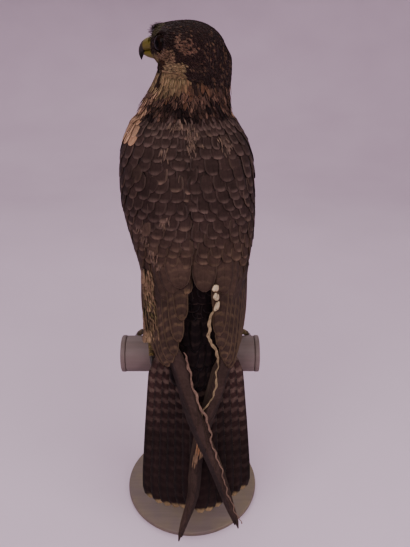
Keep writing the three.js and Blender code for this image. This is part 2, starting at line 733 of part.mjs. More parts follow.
function buildWings() {
  const body = solid(sectioned(BODY, 24, 20, GAP));
  const thigh = sectioned(THIGH, 12, 5, GAP);
  for (const [name, wing] of Object.entries(WINGS)) {
    const feathers = [...primaries(wing), ...secondaries(wing)];
    for (const tier of [...COVERT_TIERS, ...SCAPULAR_TIERS]) feathers.push(...coverts(wing, tier));
    const size = 160;
    const beyond = MIDLINE - (wing.side * (size - GAP)) / 2;
    const otherSide = movedBox(size, size, size, beyond, 60, MIDLINE_FOOT + size / 2);
    const cutters = [body, solid(thigh), solid(mirrored(thigh, LEG_MIDDLE)), solid(otherSide)];
    addNode(`wing_${name}`, cutBy(joined([wingCore(wing), ...feathers]), cutters), 'plumage');
  }
}

function tailY(height) {
  return TAIL_ROOT_Y + (TAIL_ROOT_HEIGHT - height) * TAIL_SLOPE;
}

const TAIL_FACE = point(0, 1, TAIL_SLOPE).normalize();

// A vane of the tail: its place across the fan from -1 to 1, its ends, and its distance from the tail's plane
function tailVane({ place, spread, root, tip, width, rootOut, tipOut, outline }) {
  const frameAt = (share) => {
    const height = lerp(root, tip, share);
    const opening = lerp(FAN.root, 1 - FAN.late, smoothStep(0, 0.3, share)) + FAN.late * share;
    const middle = point(TAIL_MIDDLE + place * spread * opening, tailY(height), height);
    middle.addScaledVector(TAIL_FACE, lerp(rootOut, tipOut, smoothStep(0, 0.35, share)));
    return { middle, across: point(1, 0, 0), face: TAIL_FACE };
  };
  return vane(frameAt, outline, width);
}

function buildTail() {
  const last = TAIL_TIPS.length - 1;
  const pieces = [solid(sectioned(TAIL_CORE, 14, 5))];
  TAIL_TIPS.forEach((tip, order) => {
    const place = 1 - (2 * order) / last;
    const layer = Math.abs(place) * (last / 2) + (place < 0 ? 0 : 0.5);
    pieces.push(tailVane({
      place,
      tip,
      spread: TAIL_HALF_SPREAD,
      root: TAIL_ROOT_HEIGHT,
      width: TAIL_FEATHER_WIDTH,
      rootOut: -layer * 0.5,
      tipOut: -layer * TAIL_LAYER,
      outline: TAIL_OUTLINE,
    }));
  });
  for (const tier of [UPPER_TAIL_COVERTS, UNDER_TAIL_COVERTS]) {
    for (let order = 0; order < tier.count; order += 1) {
      const place = 1 - (2 * order) / (tier.count - 1);
      const half = Math.floor(tier.count / 2);
      const layers = (1 - Math.abs(place)) * half - (place < 0 ? 0.45 : 0);
      const layer = layers * TAIL_LAYER * Math.sign(tier.out);
      pieces.push(tailVane({
        place,
        spread: tier.spread,
        root: tier.root,
        tip: tier.tip + tier.bow * Math.abs(place) + vary(2),
        width: tier.width,
        rootOut: tier.out * 0.7 + layer * 0.3,
        tipOut: tier.out + layer,
        outline: COVERT_OUTLINE,
      }));
    }
  }
  addNode('tail', joined(pieces).subtract(solid(sectioned(BODY, 24, 20, GAP))), 'plumage');
}

// A round tapered rod along a path of points, with the radius given for each share of its length
function taperedRod(places, radiusAt, sides, steps) {
  const path = new THREE.CatmullRomCurve3(places);
  const rings = [];
  let normal = null;
  for (let step = 0; step <= steps; step += 1) {
    const share = step / steps;
    const middle = path.getPointAt(share);
    const along = path.getTangentAt(share);
    normal = (normal ?? point(0.31, 0.2, 0.93)).clone();
    normal.addScaledVector(along, -normal.dot(along)).normalize();
    const other = along.clone().cross(normal);
    const ring = [];
    for (let side = 0; side < sides; side += 1) {
      const angle = (2 * Math.PI * side) / sides;
      const radius = radiusAt(share);
      ring.push(middle.clone().addScaledVector(normal, radius * Math.cos(angle))
        .addScaledVector(other, radius * Math.sin(angle)));
    }
    rings.push(ring);
  }
  return loft(rings);
}

function onBar(x, degrees, radius) {
  const angle = degToRad(degrees);
  return point(x, -radius * Math.sin(angle), BAR_HEIGHT + radius * Math.cos(angle));
}

function toePath(toe, from, to, clearance) {
  const places = [];
  const steps = 5;
  for (let step = 0; step <= steps; step += 1) {
    const share = lerp(from, to, step / steps);
    const x = lerp(toe.from, toe.to, share);
    places.push(onBar(x, lerp(toe.start, toe.end, share), BAR_RADIUS + clearance(share)));
  }
  return places;
}

function buildLegs() {
  const body = solid(sectioned(BODY, 24, 20, GAP));
  const bar = solid(rodAlongX(BAR_CAP_RADIUS + GAP, BAR_LENGTH + 10, 0, 0, BAR_HEIGHT, 40));
  for (const side of ['left', 'right']) {
    const place = (geometry) => solid(side === 'left' ? geometry : mirrored(geometry, LEG_MIDDLE));
    addNode(`thigh_${side}`, place(sectioned(THIGH, 12, 5)).subtract(body), 'pale_plumage');
    const shank = place(taperedRod([TARSUS_TOP, TARSUS_FOOT], () => TARSUS_RADIUS, 10, 2));
    addNode(`tarsus_${side}`, shank.intersect(halfSpace(ANKLE_CUT, true, GAP)), 'skin');
    const pad = new THREE.SphereGeometry(7, 10, 6).scale(1, 0.9, 0.55);
    const toes = [place(pad.translate(TARSUS_FOOT.x, TARSUS_FOOT.y, BAR_HEIGHT + BAR_RADIUS + 3.6))];
    for (const toe of TOES) {
      const swelling = (share) => 1 + 0.08 * Math.cos(TOE_PADS * 2 * Math.PI * share);
      const radiusAt = (share) => TOE_RADIUS * (1 - 0.18 * share) * swelling(share);
      const path = toePath(toe, 0, 1, () => GAP + TOE_RADIUS);
      toes.push(place(taperedRod(path, radiusAt, 6, 5)));
      const reach = Math.hypot(toe.to - toe.from, degToRad(toe.end - toe.start) * BAR_RADIUS);
      const start = 1 + GAP / reach;
      const roomy = (share) => radiusAt(share) + GAP;
      const toeCutter = place(taperedRod(toePath(toe, 0, start, () => GAP + TOE_RADIUS), roomy, 6, 5));
      const end = start + CLAW_LENGTH / reach;
      const arched = (share) => CLAW_ARCH * Math.sin(Math.PI * clamp((share - start) / (end - start), 0, 1));
      const clawPath = toePath(toe, start, end, (share) => GAP + TOE_RADIUS + arched(share));
      const claw = taperedRod(clawPath, (share) => lerp(CLAW_RADIUS, 0.35, share), 6, 4);
      addNode(`claw_${toe.name}_${side}`, cutBy(place(claw), [bar, toeCutter]), 'horn');
    }
    addNode(`foot_${side}`, joined(toes).subtract(bar).intersect(halfSpace(ANKLE_CUT, false, 0)), 'skin');
  }
}

function buildMount() {
  const edge = 1.2;
  const profile = [
    [0, 0],
    [BASE_RADIUS - edge, 0],
    [BASE_RADIUS, edge],
    [BASE_RADIUS, BASE_THICKNESS - edge],
    [BASE_RADIUS - edge, BASE_THICKNESS],
    [0, BASE_THICKNESS],
  ].map(([x, y]) => new THREE.Vector2(x, y));
  addNode('base_disc', solid(new THREE.LatheGeometry(profile, 40).rotateX(Math.PI / 2)), 'paint');
  const postTop = BAR_HEIGHT - 5;
  const postHeight = postTop - BASE_THICKNESS - GAP;
  const post = new THREE.CylinderGeometry(POST_RADIUS, POST_RADIUS, postHeight, 24).rotateX(Math.PI / 2);
  post.translate(0, 0, postTop - postHeight / 2);
  const bar = solid(rodAlongX(BAR_RADIUS, BAR_LENGTH - 2 * BAR_CAP_LENGTH - 2 * GAP, 0, 0, BAR_HEIGHT, 40));
  const barCutter = solid(rodAlongX(BAR_RADIUS + GAP, BAR_LENGTH, 0, 0, BAR_HEIGHT, 40));
  addNode('perch_post', solid(post).subtract(barCutter), 'paint');
  addNode('perch_bar', bar, 'paint');
  for (const [name, sign] of [['left', 1], ['right', -1]]) {
    const x = sign * (BAR_LENGTH - BAR_CAP_LENGTH) / 2;
    const cap = rodAlongX(BAR_CAP_RADIUS, BAR_CAP_LENGTH, x, 0, BAR_HEIGHT, 40);
    addNode(`perch_cap_${name}`, solid(cap), 'paint');
  }
}

buildHeadAndBody();
buildWings();
buildTail();
buildLegs();
buildMount();

export default falcon;
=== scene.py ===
import math
import random

import bpy
import numpy as np
from mathutils import Matrix, Vector
from mathutils.bvhtree import BVHTree


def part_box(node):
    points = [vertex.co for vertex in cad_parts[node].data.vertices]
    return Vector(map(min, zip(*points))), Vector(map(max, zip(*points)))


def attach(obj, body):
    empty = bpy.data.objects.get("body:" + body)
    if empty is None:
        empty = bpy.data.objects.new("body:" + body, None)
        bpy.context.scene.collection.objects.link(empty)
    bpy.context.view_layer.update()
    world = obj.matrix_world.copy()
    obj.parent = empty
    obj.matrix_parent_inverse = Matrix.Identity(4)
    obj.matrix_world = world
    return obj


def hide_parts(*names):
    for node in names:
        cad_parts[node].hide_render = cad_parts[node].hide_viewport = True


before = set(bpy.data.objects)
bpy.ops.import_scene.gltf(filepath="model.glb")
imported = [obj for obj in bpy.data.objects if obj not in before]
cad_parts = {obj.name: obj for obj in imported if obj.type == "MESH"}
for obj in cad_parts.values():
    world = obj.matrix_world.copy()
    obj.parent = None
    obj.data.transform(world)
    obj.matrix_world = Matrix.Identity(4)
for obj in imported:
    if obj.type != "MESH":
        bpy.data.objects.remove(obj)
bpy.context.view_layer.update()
bpy.ops.object.select_all(action="DESELECT")

MM = 0.001
rng = random.Random(7)

# Height of the folded wings' highest place, the wrist, in mm
WING_TOP = 372
# The body's level sections: height, middle x and y, half width, depth to the front and to the back, in mm
BODY = [
    (192, -2, 26, 6, 4, 4),
    (198, -2, 23, 15, 10, 8),
    (208, -2, 17, 26, 20, 14),
    (225, -3, 8, 35, 31, 22),
    (250, -4, -4, 42, 42, 32),
    (280, -2, -16, 47, 49, 39),
    (310, 1, -25, 50, 51, 42),
    (338, 2, -31, 51, 48, 40),
    (356, 3, -35, 47, 43, 35),
    (371, 4, -39, 41, 36, 30),
    (384, 2, -42, 36, 31, 26),
    (395, -2, -45, 33, 27, 24),
    (407, -5, -48, 31, 25, 23),
    (420, -6, -50, 29, 20, 21),
    (428, -5, -50, 24, 15, 16),
]
# The bed that the folded wings lie on: a shallow roof over the tail, then the body's back
BED = [
    (10, -5, 68, 52, 8, 8),
    (35, -5, 62, 52, 8, 8),
    (80, -5, 51.5, 50, 8, 8),
    (124, -4, 41.5, 46, 8, 8),
    (176, -3, 28, 42.5, 12, 11.5),
    (200, -2, 19, 42, 18, 18),
    (225, -3, 8, 41, 28, 25),
] + [row for row in BODY if 250 <= row[0] <= 384]

# Each wing: its leading and inner edge, as height and turn from its own side towards the back, in degrees;
# the height of its point; the colour, place and width of its worn rim; where its vanes rise off the bed, and
# by how much; the tips of its secondaries, as height and turn; and its tertials, as heights of root and tip,
# turns at both, width, and how far the tip stands off
WINGS = {
    "left": {
        "side": 1,
        "lead": [(28, 125), (52, 114), (91, 100), (130, 84), (165, 71), (193, 55), (210, 36), (225, 20),
                 (250, 0), (290, -24), (340, -44), (357, -40), (372, -18)],
        "inner": [(28, 135), (52, 126), (91, 115.5), (130, 101), (153, 93), (176, 87), (197, 84), (225, 85),
                  (250, 89), (310, 92), (340, 90), (360, 74), (372, 48)],
        "point": 28,
        "edge": 0x715C4E,
        "rim": [(33, 130), (45, 123), (72, 115.5), (111, 106), (130, 102.5), (156, 93.5), (172, 87.5),
                (196, 84)],
        "rim_width": 2.4,
        "rise": [(176, 138, 6.4), (110, 30, 4)],
        "secondaries": [(206, 46), (200, 50), (194, 54), (188, 58), (182, 62), (181, 66), (185, 70),
                        (192, 74), (204, 78), (222, 80), (243, 83)],
        "tertials": [(300, 232, 50, 50, 16, 1.8), (300, 238, 58, 60, 18, 2.2), (304, 244, 66, 68, 20, 2.6),
                     (306, 249, 75, 77, 22, 3.2)],
    },
    "right": {
        "side": -1,
        "lead": [(15, 103.5), (35, 96), (59, 87), (95, 82), (126, 72), (150, 61), (178, 47), (206, 12),
                 (225, 2), (250, -8), (290, -26), (340, -44), (357, -40), (372, -18)],
        "inner": [(15, 111), (40, 108), (55, 104), (78, 97), (95, 94), (117, 87), (144, 77), (165, 68),
                  (190, 63), (209, 71), (228, 69.5), (243, 72), (256, 84), (310, 86), (340, 86), (360, 72),
                  (372, 48)],
        "point": 17,
        "edge": 0x847458,
        "rim": [(118, 89), (134, 83), (144, 78), (156, 69.5), (168, 66.5), (180, 63.5), (193, 64.5),
                (199, 69), (208, 72.5), (222, 72), (231, 69.5)],
        "rim_width": 3,
        "rise": [(100, 20, 9)],
        "secondaries": [(202, 36), (196, 40), (189, 44), (183, 48), (178, 51), (180, 54), (186, 57),
                        (196, 60), (208, 62), (226, 61.5), (243, 64)],
        "tertials": [(300, 231, 44, 43, 16, 1.8), (300, 237, 52, 50, 17, 2.2), (304, 242, 60, 58, 18, 2.6),
                     (306, 246, 78, 79, 21, 3.2)],
    },
}

# The head's own axes: x to the bill, y to its left, z up
HEAD_PLACE = Vector((3, -51, 423))
HEAD_TURN = 55
HEAD_NOD = -1
HEAD_AXES = (
    Matrix.Translation(HEAD_PLACE * MM)
    @ Matrix.Rotation(math.radians(HEAD_TURN - 90), 4, "Z")
    @ Matrix.Rotation(math.radians(HEAD_NOD), 4, "Y")
)
EYE = Vector((11, 12.2, 3.4))
EYE_RADIUS = 8
EYE_OPENING = 6.3
EYE_TURN = 14

# The ring of the lids: how far it stands out and inside the opening, half its thickness, and its narrowing
LID_OUT = 0.5
LID_INSIDE = 0.7
LID_THICK = 0.6
LID_NARROWED = 0.86

# How much higher the lower bill is drawn than its solid, so that the mouth is shut
MOUTH_SHUT = 1.4

# The tail's plane and its fan
TAIL_MIDDLE = -5.3
TAIL_ROOT = (216, 27)
TAIL_SLOPE = 0.214
TAIL_SPREAD = 41.5
TAIL_FACE = Vector((0, 1, TAIL_SLOPE)).normalized()
TAIL_TIPS = [44, 39, 37, 36, 36, 37, 32, 33, 37, 42, 47, 53]
TAIL_WIDTH = 19
TAIL_BAR_SPACING = 9.2
# Tiers of tail coverts: root and tip heights, how many, half spread, width and distance from the tail's plane
UPPER_TAIL_COVERTS = [(214, 150, 6, 17, 14, 0.9), (222, 172, 6, 17, 13, 2.2), (228, 190, 5, 16, 12, 3.2)]
UNDER_TAIL_COVERTS = [(206, 128, 6, 24, 15, -6.4), (208, 152, 5, 22, 14, -8.4)]


def lerp(a, b, share):
    return a + (b - a) * share


def clamp(value, low=0.0, high=1.0):
    return max(low, min(high, value))


def smooth(start, end, value):
    t = clamp((value - start) / (end - start))
    return t * t * (3 - 2 * t)


def linear(hex_value):
    """An sRGB hex value as linear red, green, blue and alpha."""
    channels = [((hex_value >> shift) & 255) / 255 for shift in (16, 8, 0)]
    return tuple(c / 12.92 if c <= 0.04045 else ((c + 0.055) / 1.055) ** 2.4 for c in channels) + (1.0,)


def blend_colour(a, b, share):
    return tuple(lerp(x, y, share) for x, y in zip(a, b))


def varied(tone, amount):
    """The same colour a little lighter or darker, as one feather differs from the next."""
    factor = 1 + rng.uniform(-amount, amount)
    return tuple(channel * factor for channel in tone[:3]) + (1.0,)


# Colours of the plumage
BACK = linear(0x2F231F)
BACK_EDGE = linear(0x5A4A42)
LOWER_BACK = linear(0x3C2E26)
LOWER_EDGE = linear(0x5C4B3B)
NAPE = linear(0x1C1210)
NAPE_STREAK = linear(0x6E5440)
CROWN = linear(0x231715)
FOREHEAD = linear(0x4E4730)
COLLAR = linear(0x735848)
CREAM = linear(0x806D50)
RUSTY = linear(0x7A5238)
MALAR = linear(0x170F0D)
BREAST = linear(0xA28266)
BELLY = linear(0xC2A780)
STREAK = linear(0x36271E)
WHITE = linear(0xBCAD8C)
# The rump and upper tail coverts between the wings: their dark brown painted near black with the wings' shade
SHADED_RUMP = linear(0x100909)
OLIVE = linear(0x574A30)
SOILED = linear(0x6E6640)
CHEEK = linear(0x705645)
WORN = linear(0x75604F)
FLIGHT = linear(0x352924)
FLIGHT_BAR = linear(0x4E3F36)
FLIGHT_EDGE = linear(0x6A573F)
TAIL_DARK = linear(0x1B110F)
TAIL_BAR = linear(0x5E4D44)
TAIL_TIP = linear(0xAE9A6A)


def station(table, at):
    """A row of a station table at one place, on a smooth curve through the rows."""
    rows = [np.array(row, float) for row in table]
    last = len(rows) - 1
    low = 0
    while low < last - 1 and rows[low + 1][0] <= at:
        low += 1
    a, b = rows[low], rows[low + 1]
    before, after = rows[max(low - 1, 0)], rows[min(low + 2, last)]
    span = b[0] - a[0]
    t = clamp((at - a[0]) / span)
    leave = span * (b - before) / (b[0] - before[0])
    arrive = span * (after - a) / (after[0] - a[0])
    return (
        a * (2 * t**3 - 3 * t**2 + 1)
        + leave * (t**3 - 2 * t**2 + t)
        + b * (3 * t**2 - 2 * t**3)
        + arrive * (t**3 - t**2)
    )


def section_point(table, height, degrees, lift=0.0):
    """A point of a level section: turned from +X towards the back, and lifted off the surface."""
    _, x, y, half, front, back = station(table, height)
    angle = math.radians(degrees)
    depth = back if math.sin(angle) > 0 else front
    return Vector((x + (half + lift) * math.cos(angle), y + (depth + lift) * math.sin(angle), height))


def bed_point(wing, height, angle, lift=0.0):
    return section_point(BED, height, angle if wing["side"] > 0 else 180 - angle, lift)


def edge_angle(wing, edge, height):
    return station(wing[edge], height)[1]


def bed_normal(wing, height, angle):
    wide = 2
    around = bed_point(wing, height, angle + wide) - bed_point(wing, height, angle - wide)
    up = bed_point(wing, height + wide, angle) - bed_point(wing, height - wide, angle)
    return (around.cross(up) * wing["side"]).normalized()


def core_thickness(wing, height, angle):
    """How thick the folded arm stands over the bed: full in its middle, thin at its edges and its foot."""
    first, last = edge_angle(wing, "lead", height), edge_angle(wing, "inner", height)
    share = clamp((angle - first) / (last - first))
    full = 2.4 + 3.2 * smooth(230, 310, height) - 2.6 * smooth(350, 372, height)
    return full * (0.36 + 0.64 * max(math.sin(math.pi * share), 0) ** 0.6)


# Materials

# What each point of a feather carries: its colours, then its rims and streak, place in the vane, and bars
COLOURS = ("ground", "margin", "mark")
MEASURES = ("plan", "reach", "stripe")
# Where the cere gives way to horn, along the head's own x, in mm
CERE_END = (40.4, 41.2)


def wire(node, sockets):
    """Gives a node's sockets their values; a value may be another node's output, which is then linked."""
    for key, value in sockets.items():
        if isinstance(value, bpy.types.NodeSocket):
            node.id_data.links.new(value, node.inputs[key])
        else:
            node.inputs[key].default_value = value


def new_material(name):
    """A material, the function that adds a node to it, and its surface shader."""
    material = bpy.data.materials.new(name)
    material.use_nodes = True
    nodes = material.node_tree.nodes

    def put(kind, sockets=None, output=0, **settings):
        """Adds a node with its settings and links, and gives one of its outputs, or all of them for None."""
        made = nodes.new("ShaderNode" + kind)
        for key, value in settings.items():
            setattr(made, key, value)
        wire(made, sockets or {})
        return made.outputs if output is None else made.outputs[output]

    return material, put, nodes["Principled BSDF"]


def plumage_material(name, barb, roughness, sheen):
    """Feather vanes, keratin barbs set close on a shaft: dull, faintly silky; barb is their spacing in mm."""
    material, put, surface = new_material(name)
    ground, margin, mark = (put("Attribute", attribute_name=kind, output="Color") for kind in COLOURS)
    plan, reach, stripe = (put("Attribute", attribute_name=kind, output="Vector") for kind in MEASURES)
    side_rim, tip_rim, streak_width = put("SeparateXYZ", {0: plan}, output=None)
    edge, tip, shaft = put("SeparateXYZ", {0: reach}, output=None)
    phase, strength, threshold = put("SeparateXYZ", {0: stripe}, output=None)
    place = put("TexCoord", output="Object")
    cloud = put("TexNoise", {"Vector": place, "Scale": 1 / (2.2 * MM), "Detail": 3.0})
    broad = put("TexNoise", {"Vector": place, "Scale": 1 / (19 * MM), "Detail": 2.0})
    wobble = put("Math", {0: cloud, 1: 0.5}, operation="SUBTRACT")

    # the pale rim follows the sides and the tip, a little ragged
    from_side = put("Math", {0: edge, 1: side_rim}, operation="DIVIDE")
    from_tip = put("Math", {0: tip, 1: tip_rim}, operation="DIVIDE")
    outline = put("Math", {0: from_side, 1: from_tip, 2: 0.4}, operation="SMOOTH_MIN")
    ragged = put("Math", {0: wobble, 1: 1.2, 2: outline}, operation="MULTIPLY_ADD")
    rim = put("MapRange", {0: ragged, 1: 0.25, 2: 1.6, 3: 1.0, 4: 0.0}, interpolation_type="SMOOTHSTEP")

    # the streak lies along the shaft
    within = put("Math", {0: streak_width, 1: shaft}, operation="SUBTRACT")
    loose = put("Math", {0: wobble, 1: 0.9, 2: within}, operation="MULTIPLY_ADD")
    streak = put("MapRange", {0: loose, 1: -0.15, 2: 0.25}, interpolation_type="SMOOTHSTEP")

    # cross bars
    shaken = put("Math", {0: wobble, 1: 0.5, 2: phase}, operation="MULTIPLY_ADD")
    turn = put("Math", {0: shaken, 1: 2 * math.pi}, operation="MULTIPLY")
    wave = put("Math", {0: turn}, operation="SINE")
    crest = put("Math", {0: threshold, 1: 1.0}, operation="ADD")
    barred = put("MapRange", {0: wave, 1: threshold, 2: crest}, interpolation_type="SMOOTHSTEP")
    patchy = put("TexNoise", {"Vector": place, "Scale": 1 / (7 * MM), "Detail": 2.0})
    kept = put("MapRange", {0: patchy, 1: 0.35, 2: 0.65, 3: 0.45, 4: 1.15})
    uneven = put("Math", {0: barred, 1: kept}, operation="MULTIPLY")
    bars = put("Math", {0: uneven, 1: strength}, operation="MULTIPLY")
    banded = put("Math", {0: streak, 1: bars}, operation="MAXIMUM")

    # fine barbs slant from the shaft towards the tip
    slanted = put("Math", {0: shaft, 1: 0.9, 2: tip}, operation="MULTIPLY_ADD")
    barb_phase = put("Math", {0: slanted, 1: 2 * math.pi / barb}, operation="MULTIPLY")
    barbs = put("Math", {0: barb_phase}, operation="SINE")
    rib = put("MapRange", {0: shaft, 1: 0.12, 2: 0.4, 3: 1.0, 4: 0.0})

    marked = put("Mix", {0: banded, 6: ground, 7: mark}, data_type="RGBA", output=2)
    edged = put("Mix", {0: rim, 6: marked, 7: margin}, data_type="RGBA", output=2)
    grain = put("Math", {0: barbs, 1: 0.05, 2: cloud}, operation="MULTIPLY_ADD")
    mottle = put("Math", {0: grain, 1: broad}, operation="ADD")
    tone = put("MapRange", {0: mottle, 1: 0.7, 2: 1.3, 3: 0.72, 4: 1.28})
    ribbed = put("Math", {0: rib, 1: -0.18, 2: tone}, operation="MULTIPLY_ADD")
    shade = put("VectorMath", {0: edged, 3: ribbed}, operation="SCALE")
    raised = put("Math", {0: rib, 1: 1.5, 2: barbs}, operation="MULTIPLY_ADD")
    relief = put("Bump", {"Height": raised, "Strength": 0.3, "Distance": 0.1 * MM})
    wire(surface, {
        "Base Color": shade, "Normal": relief, "Roughness": roughness, "Specular IOR Level": 0.08,
        "Sheen Weight": sheen, "Sheen Roughness": 0.4,
    })
    return material


def skin_material():
    """The tanned skin and down under the coat, dark above and pale below: matt, blotched."""
    material, put, surface = new_material("down_and_skin")
    place = put("TexCoord", output="Object")
    tones = put("Attribute", attribute_name="ground", output="Color")
    cloud = put("TexNoise", {"Vector": place, "Scale": 1 / (1.6 * MM), "Detail": 4.0})
    tone = put("MapRange", {0: cloud, 1: 0.3, 2: 0.7, 3: 0.65, 4: 1.2})
    shade = put("VectorMath", {0: tones, 3: tone}, operation="SCALE")
    relief = put("Bump", {"Height": cloud, "Strength": 0.6, "Distance": 0.3 * MM})
    wire(surface, {"Base Color": shade, "Normal": relief, "Roughness": 0.9, "Specular IOR Level": 0.05})
    return material


def head_coordinates(put):
    """Object coordinates turned into the head's own axes, in metres."""
    place = put("TexCoord", output="Object")
    centred = put("Mapping", {"Vector": place, "Location": -HEAD_PLACE * MM}, vector_type="POINT")
    turned = put(
        "Mapping", {"Vector": centred, "Rotation": (0, 0, -math.radians(HEAD_TURN - 90))}, vector_type="POINT"
    )
    return put("SeparateXYZ", {0: turned}, output=None)


def bill_material():
    """Horn of the bill, worn and polished: dark brown to near black at the hook, the cere a waxy yellow."""
    material, put, surface = new_material("bill_horn_and_cere")
    x, _, z = head_coordinates(put)
    place = put("TexCoord", output="Object")
    cloud = put("TexNoise", {"Vector": place, "Scale": 1 / (1.5 * MM), "Detail": 3.0})
    shaken = put("Math", {0: cloud, 1: 2.5 * MM, 2: x}, operation="MULTIPLY_ADD")
    cere = put("MapRange", {0: shaken, 1: CERE_END[0] * MM, 2: CERE_END[1] * MM})
    hook = put("MapRange", {0: z, 1: -8 * MM, 2: 1 * MM})
    horn = put("Mix", {0: hook, 6: linear(0x0E0B09), 7: linear(0x2A211A)}, data_type="RGBA", output=2)
    whole = put("Mix", {0: cere, 6: linear(0x5C531C), 7: horn}, data_type="RGBA", output=2)
    relief = put("Bump", {"Height": cloud, "Strength": 0.25, "Distance": 0.2 * MM})
    wire(surface, {"Base Color": whole, "Normal": relief, "Roughness": 0.5, "Specular IOR Level": 0.2})
    return material


def scaled_skin_material(name, pale, dark, scute, roughness):
    """Bare leg and lid skin: small horny scales with darker seams, dry and a little waxy."""
    material, put, surface = new_material(name)
    place = put("TexCoord", output="Object")
    grain = {"Vector": place, "Scale": 1 / (scute * MM), "Randomness": 0.75}
    cells = put("TexVoronoi", grain, feature="DISTANCE_TO_EDGE")
    cloud = put("TexNoise", {"Vector": place, "Scale": 1 / (6 * MM), "Detail": 3.0})
    seam = put("MapRange", {0: cells, 1: 0.0, 2: 0.16})
    dirt = put("MapRange", {0: cloud, 1: 0.35, 2: 0.65})
    clean = put("Math", {0: seam, 1: dirt}, operation="MULTIPLY")
    shade = put("Mix", {0: clean, 6: dark, 7: pale}, data_type="RGBA", output=2)
    relief = put("Bump", {"Height": seam, "Strength": 0.7, "Distance": 0.35 * MM})
    wire(surface, {
        "Base Color": shade, "Normal": relief, "Roughness": roughness, "Specular IOR Level": 0.2,
    })
    return material


def claw_material():
    """Claw horn, grown in long fibres: near black, glossy, a little grey where it is worn."""
    material, put, surface = new_material("claw_horn")
    place = put("TexCoord", output="Object")
    fibres = put("TexNoise", {"Vector": place, "Scale": 1 / (1.2 * MM), "Detail": 4.0})
    shade = put("Mix", {0: fibres, 6: linear(0x0E0C0B), 7: linear(0x3A332D)}, data_type="RGBA", output=2)
    wire(surface, {"Base Color": shade, "Roughness": 0.3})
    return material


def eye_material():
    """A glass eye: very dark brown round a black pupil, with a hard wet gloss."""
    material, put, surface = new_material("glass_eye")
    x, y, z = head_coordinates(put)
    outward = put("Math", {0: y}, operation="ABSOLUTE")
    turn = math.radians(EYE_TURN)
    forward = put("Math", {0: x, 1: -EYE.x * MM}, operation="ADD")
    sideways = put("Math", {0: outward, 1: -EYE.y * MM}, operation="ADD")
    level = put("Math", {0: z, 1: -EYE.z * MM}, operation="ADD")
    cross = put("Math", {0: sideways, 1: -math.sin(turn)}, operation="MULTIPLY")
    offset = put("Math", {0: forward, 1: math.cos(turn), 2: cross}, operation="MULTIPLY_ADD")
    place = put("CombineXYZ", {0: offset, 1: level})
    away = put("VectorMath", {0: place}, operation="LENGTH", output="Value")
    iris = put("MapRange", {0: away, 1: 2.7 * MM, 2: 3.2 * MM})
    shade = put("Mix", {0: iris, 6: linear(0x030303), 7: linear(0x160C07)}, data_type="RGBA", output=2)
    wire(surface, {"Base Color": shade, "Roughness": 0.08, "Specular IOR Level": 0.05})
    return material


def paint_material(name, base, grimy, gloss):
    """Old brushed paint on turned wood: grey-brown, matt, faintly streaked and grimy in patches."""
    material, put, surface = new_material(name)
    place = put("TexCoord", output="Object")
    cloud = put("TexNoise", {"Vector": place, "Scale": 1 / (28 * MM), "Detail": 5.0})
    streaks = put("Mapping", {"Vector": place, "Scale": (1 / (40 * MM), 1 / (2 * MM), 1 / (2 * MM))})
    brush = put("TexNoise", {"Vector": streaks, "Scale": 1.0, "Detail": 3.0})
    patch = put("MapRange", {0: cloud, 1: 0.4, 2: 0.68})
    coat = put("Mix", {0: patch, 6: base, 7: grimy}, data_type="RGBA", output=2)
    tone = put("MapRange", {0: brush, 1: 0.3, 2: 0.7, 3: 0.9, 4: 1.08})
    shade = put("VectorMath", {0: coat, 3: tone}, operation="SCALE")
    relief = put("Bump", {"Height": brush, "Strength": 0.2, "Distance": 0.25 * MM})
    wire(surface, {"Base Color": shade, "Normal": relief, "Roughness": gloss})
    return material


# Pieces

# Points of one mesh that are closer than this are merged, in metres
SAME_POINT = 1e-6
# The folded arm's pad: the height of its foot, how far its face lies under the arm's, and its depth, in mm
CORE_FOOT = 238
CORE_SUNK = 0.4
CORE_DEPTH = 7
BODY_MIDDLE = Vector((0, -20, 300))
COAT_DEPTH = 0.8
# How far a feather's cross bars bend back at its edges, in bars
BAR_CURVE = 0.4


def select_only(*objects):
    """Selects these objects alone; the first one is the active one."""
    bpy.ops.object.select_all(action="DESELECT")
    for obj in objects:
        obj.select_set(True)
    bpy.context.view_layer.objects.active = objects[0]


def joined(objects):
    """One object out of several, under the name of the first."""
    select_only(*objects)
    if len(objects) > 1:
        bpy.ops.object.join()
    return objects[0]


def edit_whole(obj, operator, **settings):
    """Runs an edit mode operator on all of an object's mesh."""
    select_only(obj)
    bpy.ops.object.mode_set(mode="EDIT")
    bpy.ops.mesh.select_all(action="SELECT")
    operator(**settings)
    bpy.ops.object.mode_set(mode="OBJECT")


def new_object(name, mesh):
    obj = bpy.data.objects.new(name, mesh)
    bpy.context.scene.collection.objects.link(obj)
    return obj


def placed(obj, *nodes, material, slot):
    """Finishes a piece: its place goes into its mesh, and it stands for its nodes."""
    select_only(obj)
    bpy.ops.object.transform_apply(location=True, rotation=True, scale=True)
    obj.data.materials.clear()
    obj.data.materials.append(material)
    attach(obj, "root")
    if nodes:
        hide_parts(*nodes)
    return obj


def copy_of(names, new_name):
    """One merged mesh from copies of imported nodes."""
    copies = []
    for name in names:
        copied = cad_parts[name].copy()
        copied.data = copied.data.copy()
        for key in list(copied.keys()):
            del copied[key]
        copied.parent = None
        bpy.context.scene.collection.objects.link(copied)
        copies.append(copied)
    made = joined(copies)
    made.name = made.data.name = new_name
    edit_whole(made, bpy.ops.mesh.remove_doubles, threshold=SAME_POINT)
    return made


def apply_modifier(obj, kind, **settings):
    select_only(obj)
    modifier = obj.modifiers.new(kind.lower(), kind)
    for name, value in settings.items():
        setattr(modifier, name, value)
    bpy.ops.object.modifier_apply(modifier=modifier.name)


def refined(obj, voxel, rounds, factor=0.5):
    """Melts the facets away: even small faces, then a little smoothing."""
    apply_modifier(obj, "REMESH", mode="VOXEL", voxel_size=voxel * MM, use_smooth_shade=True)
    apply_modifier(obj, "SMOOTH", iterations=rounds, factor=factor)
    return obj


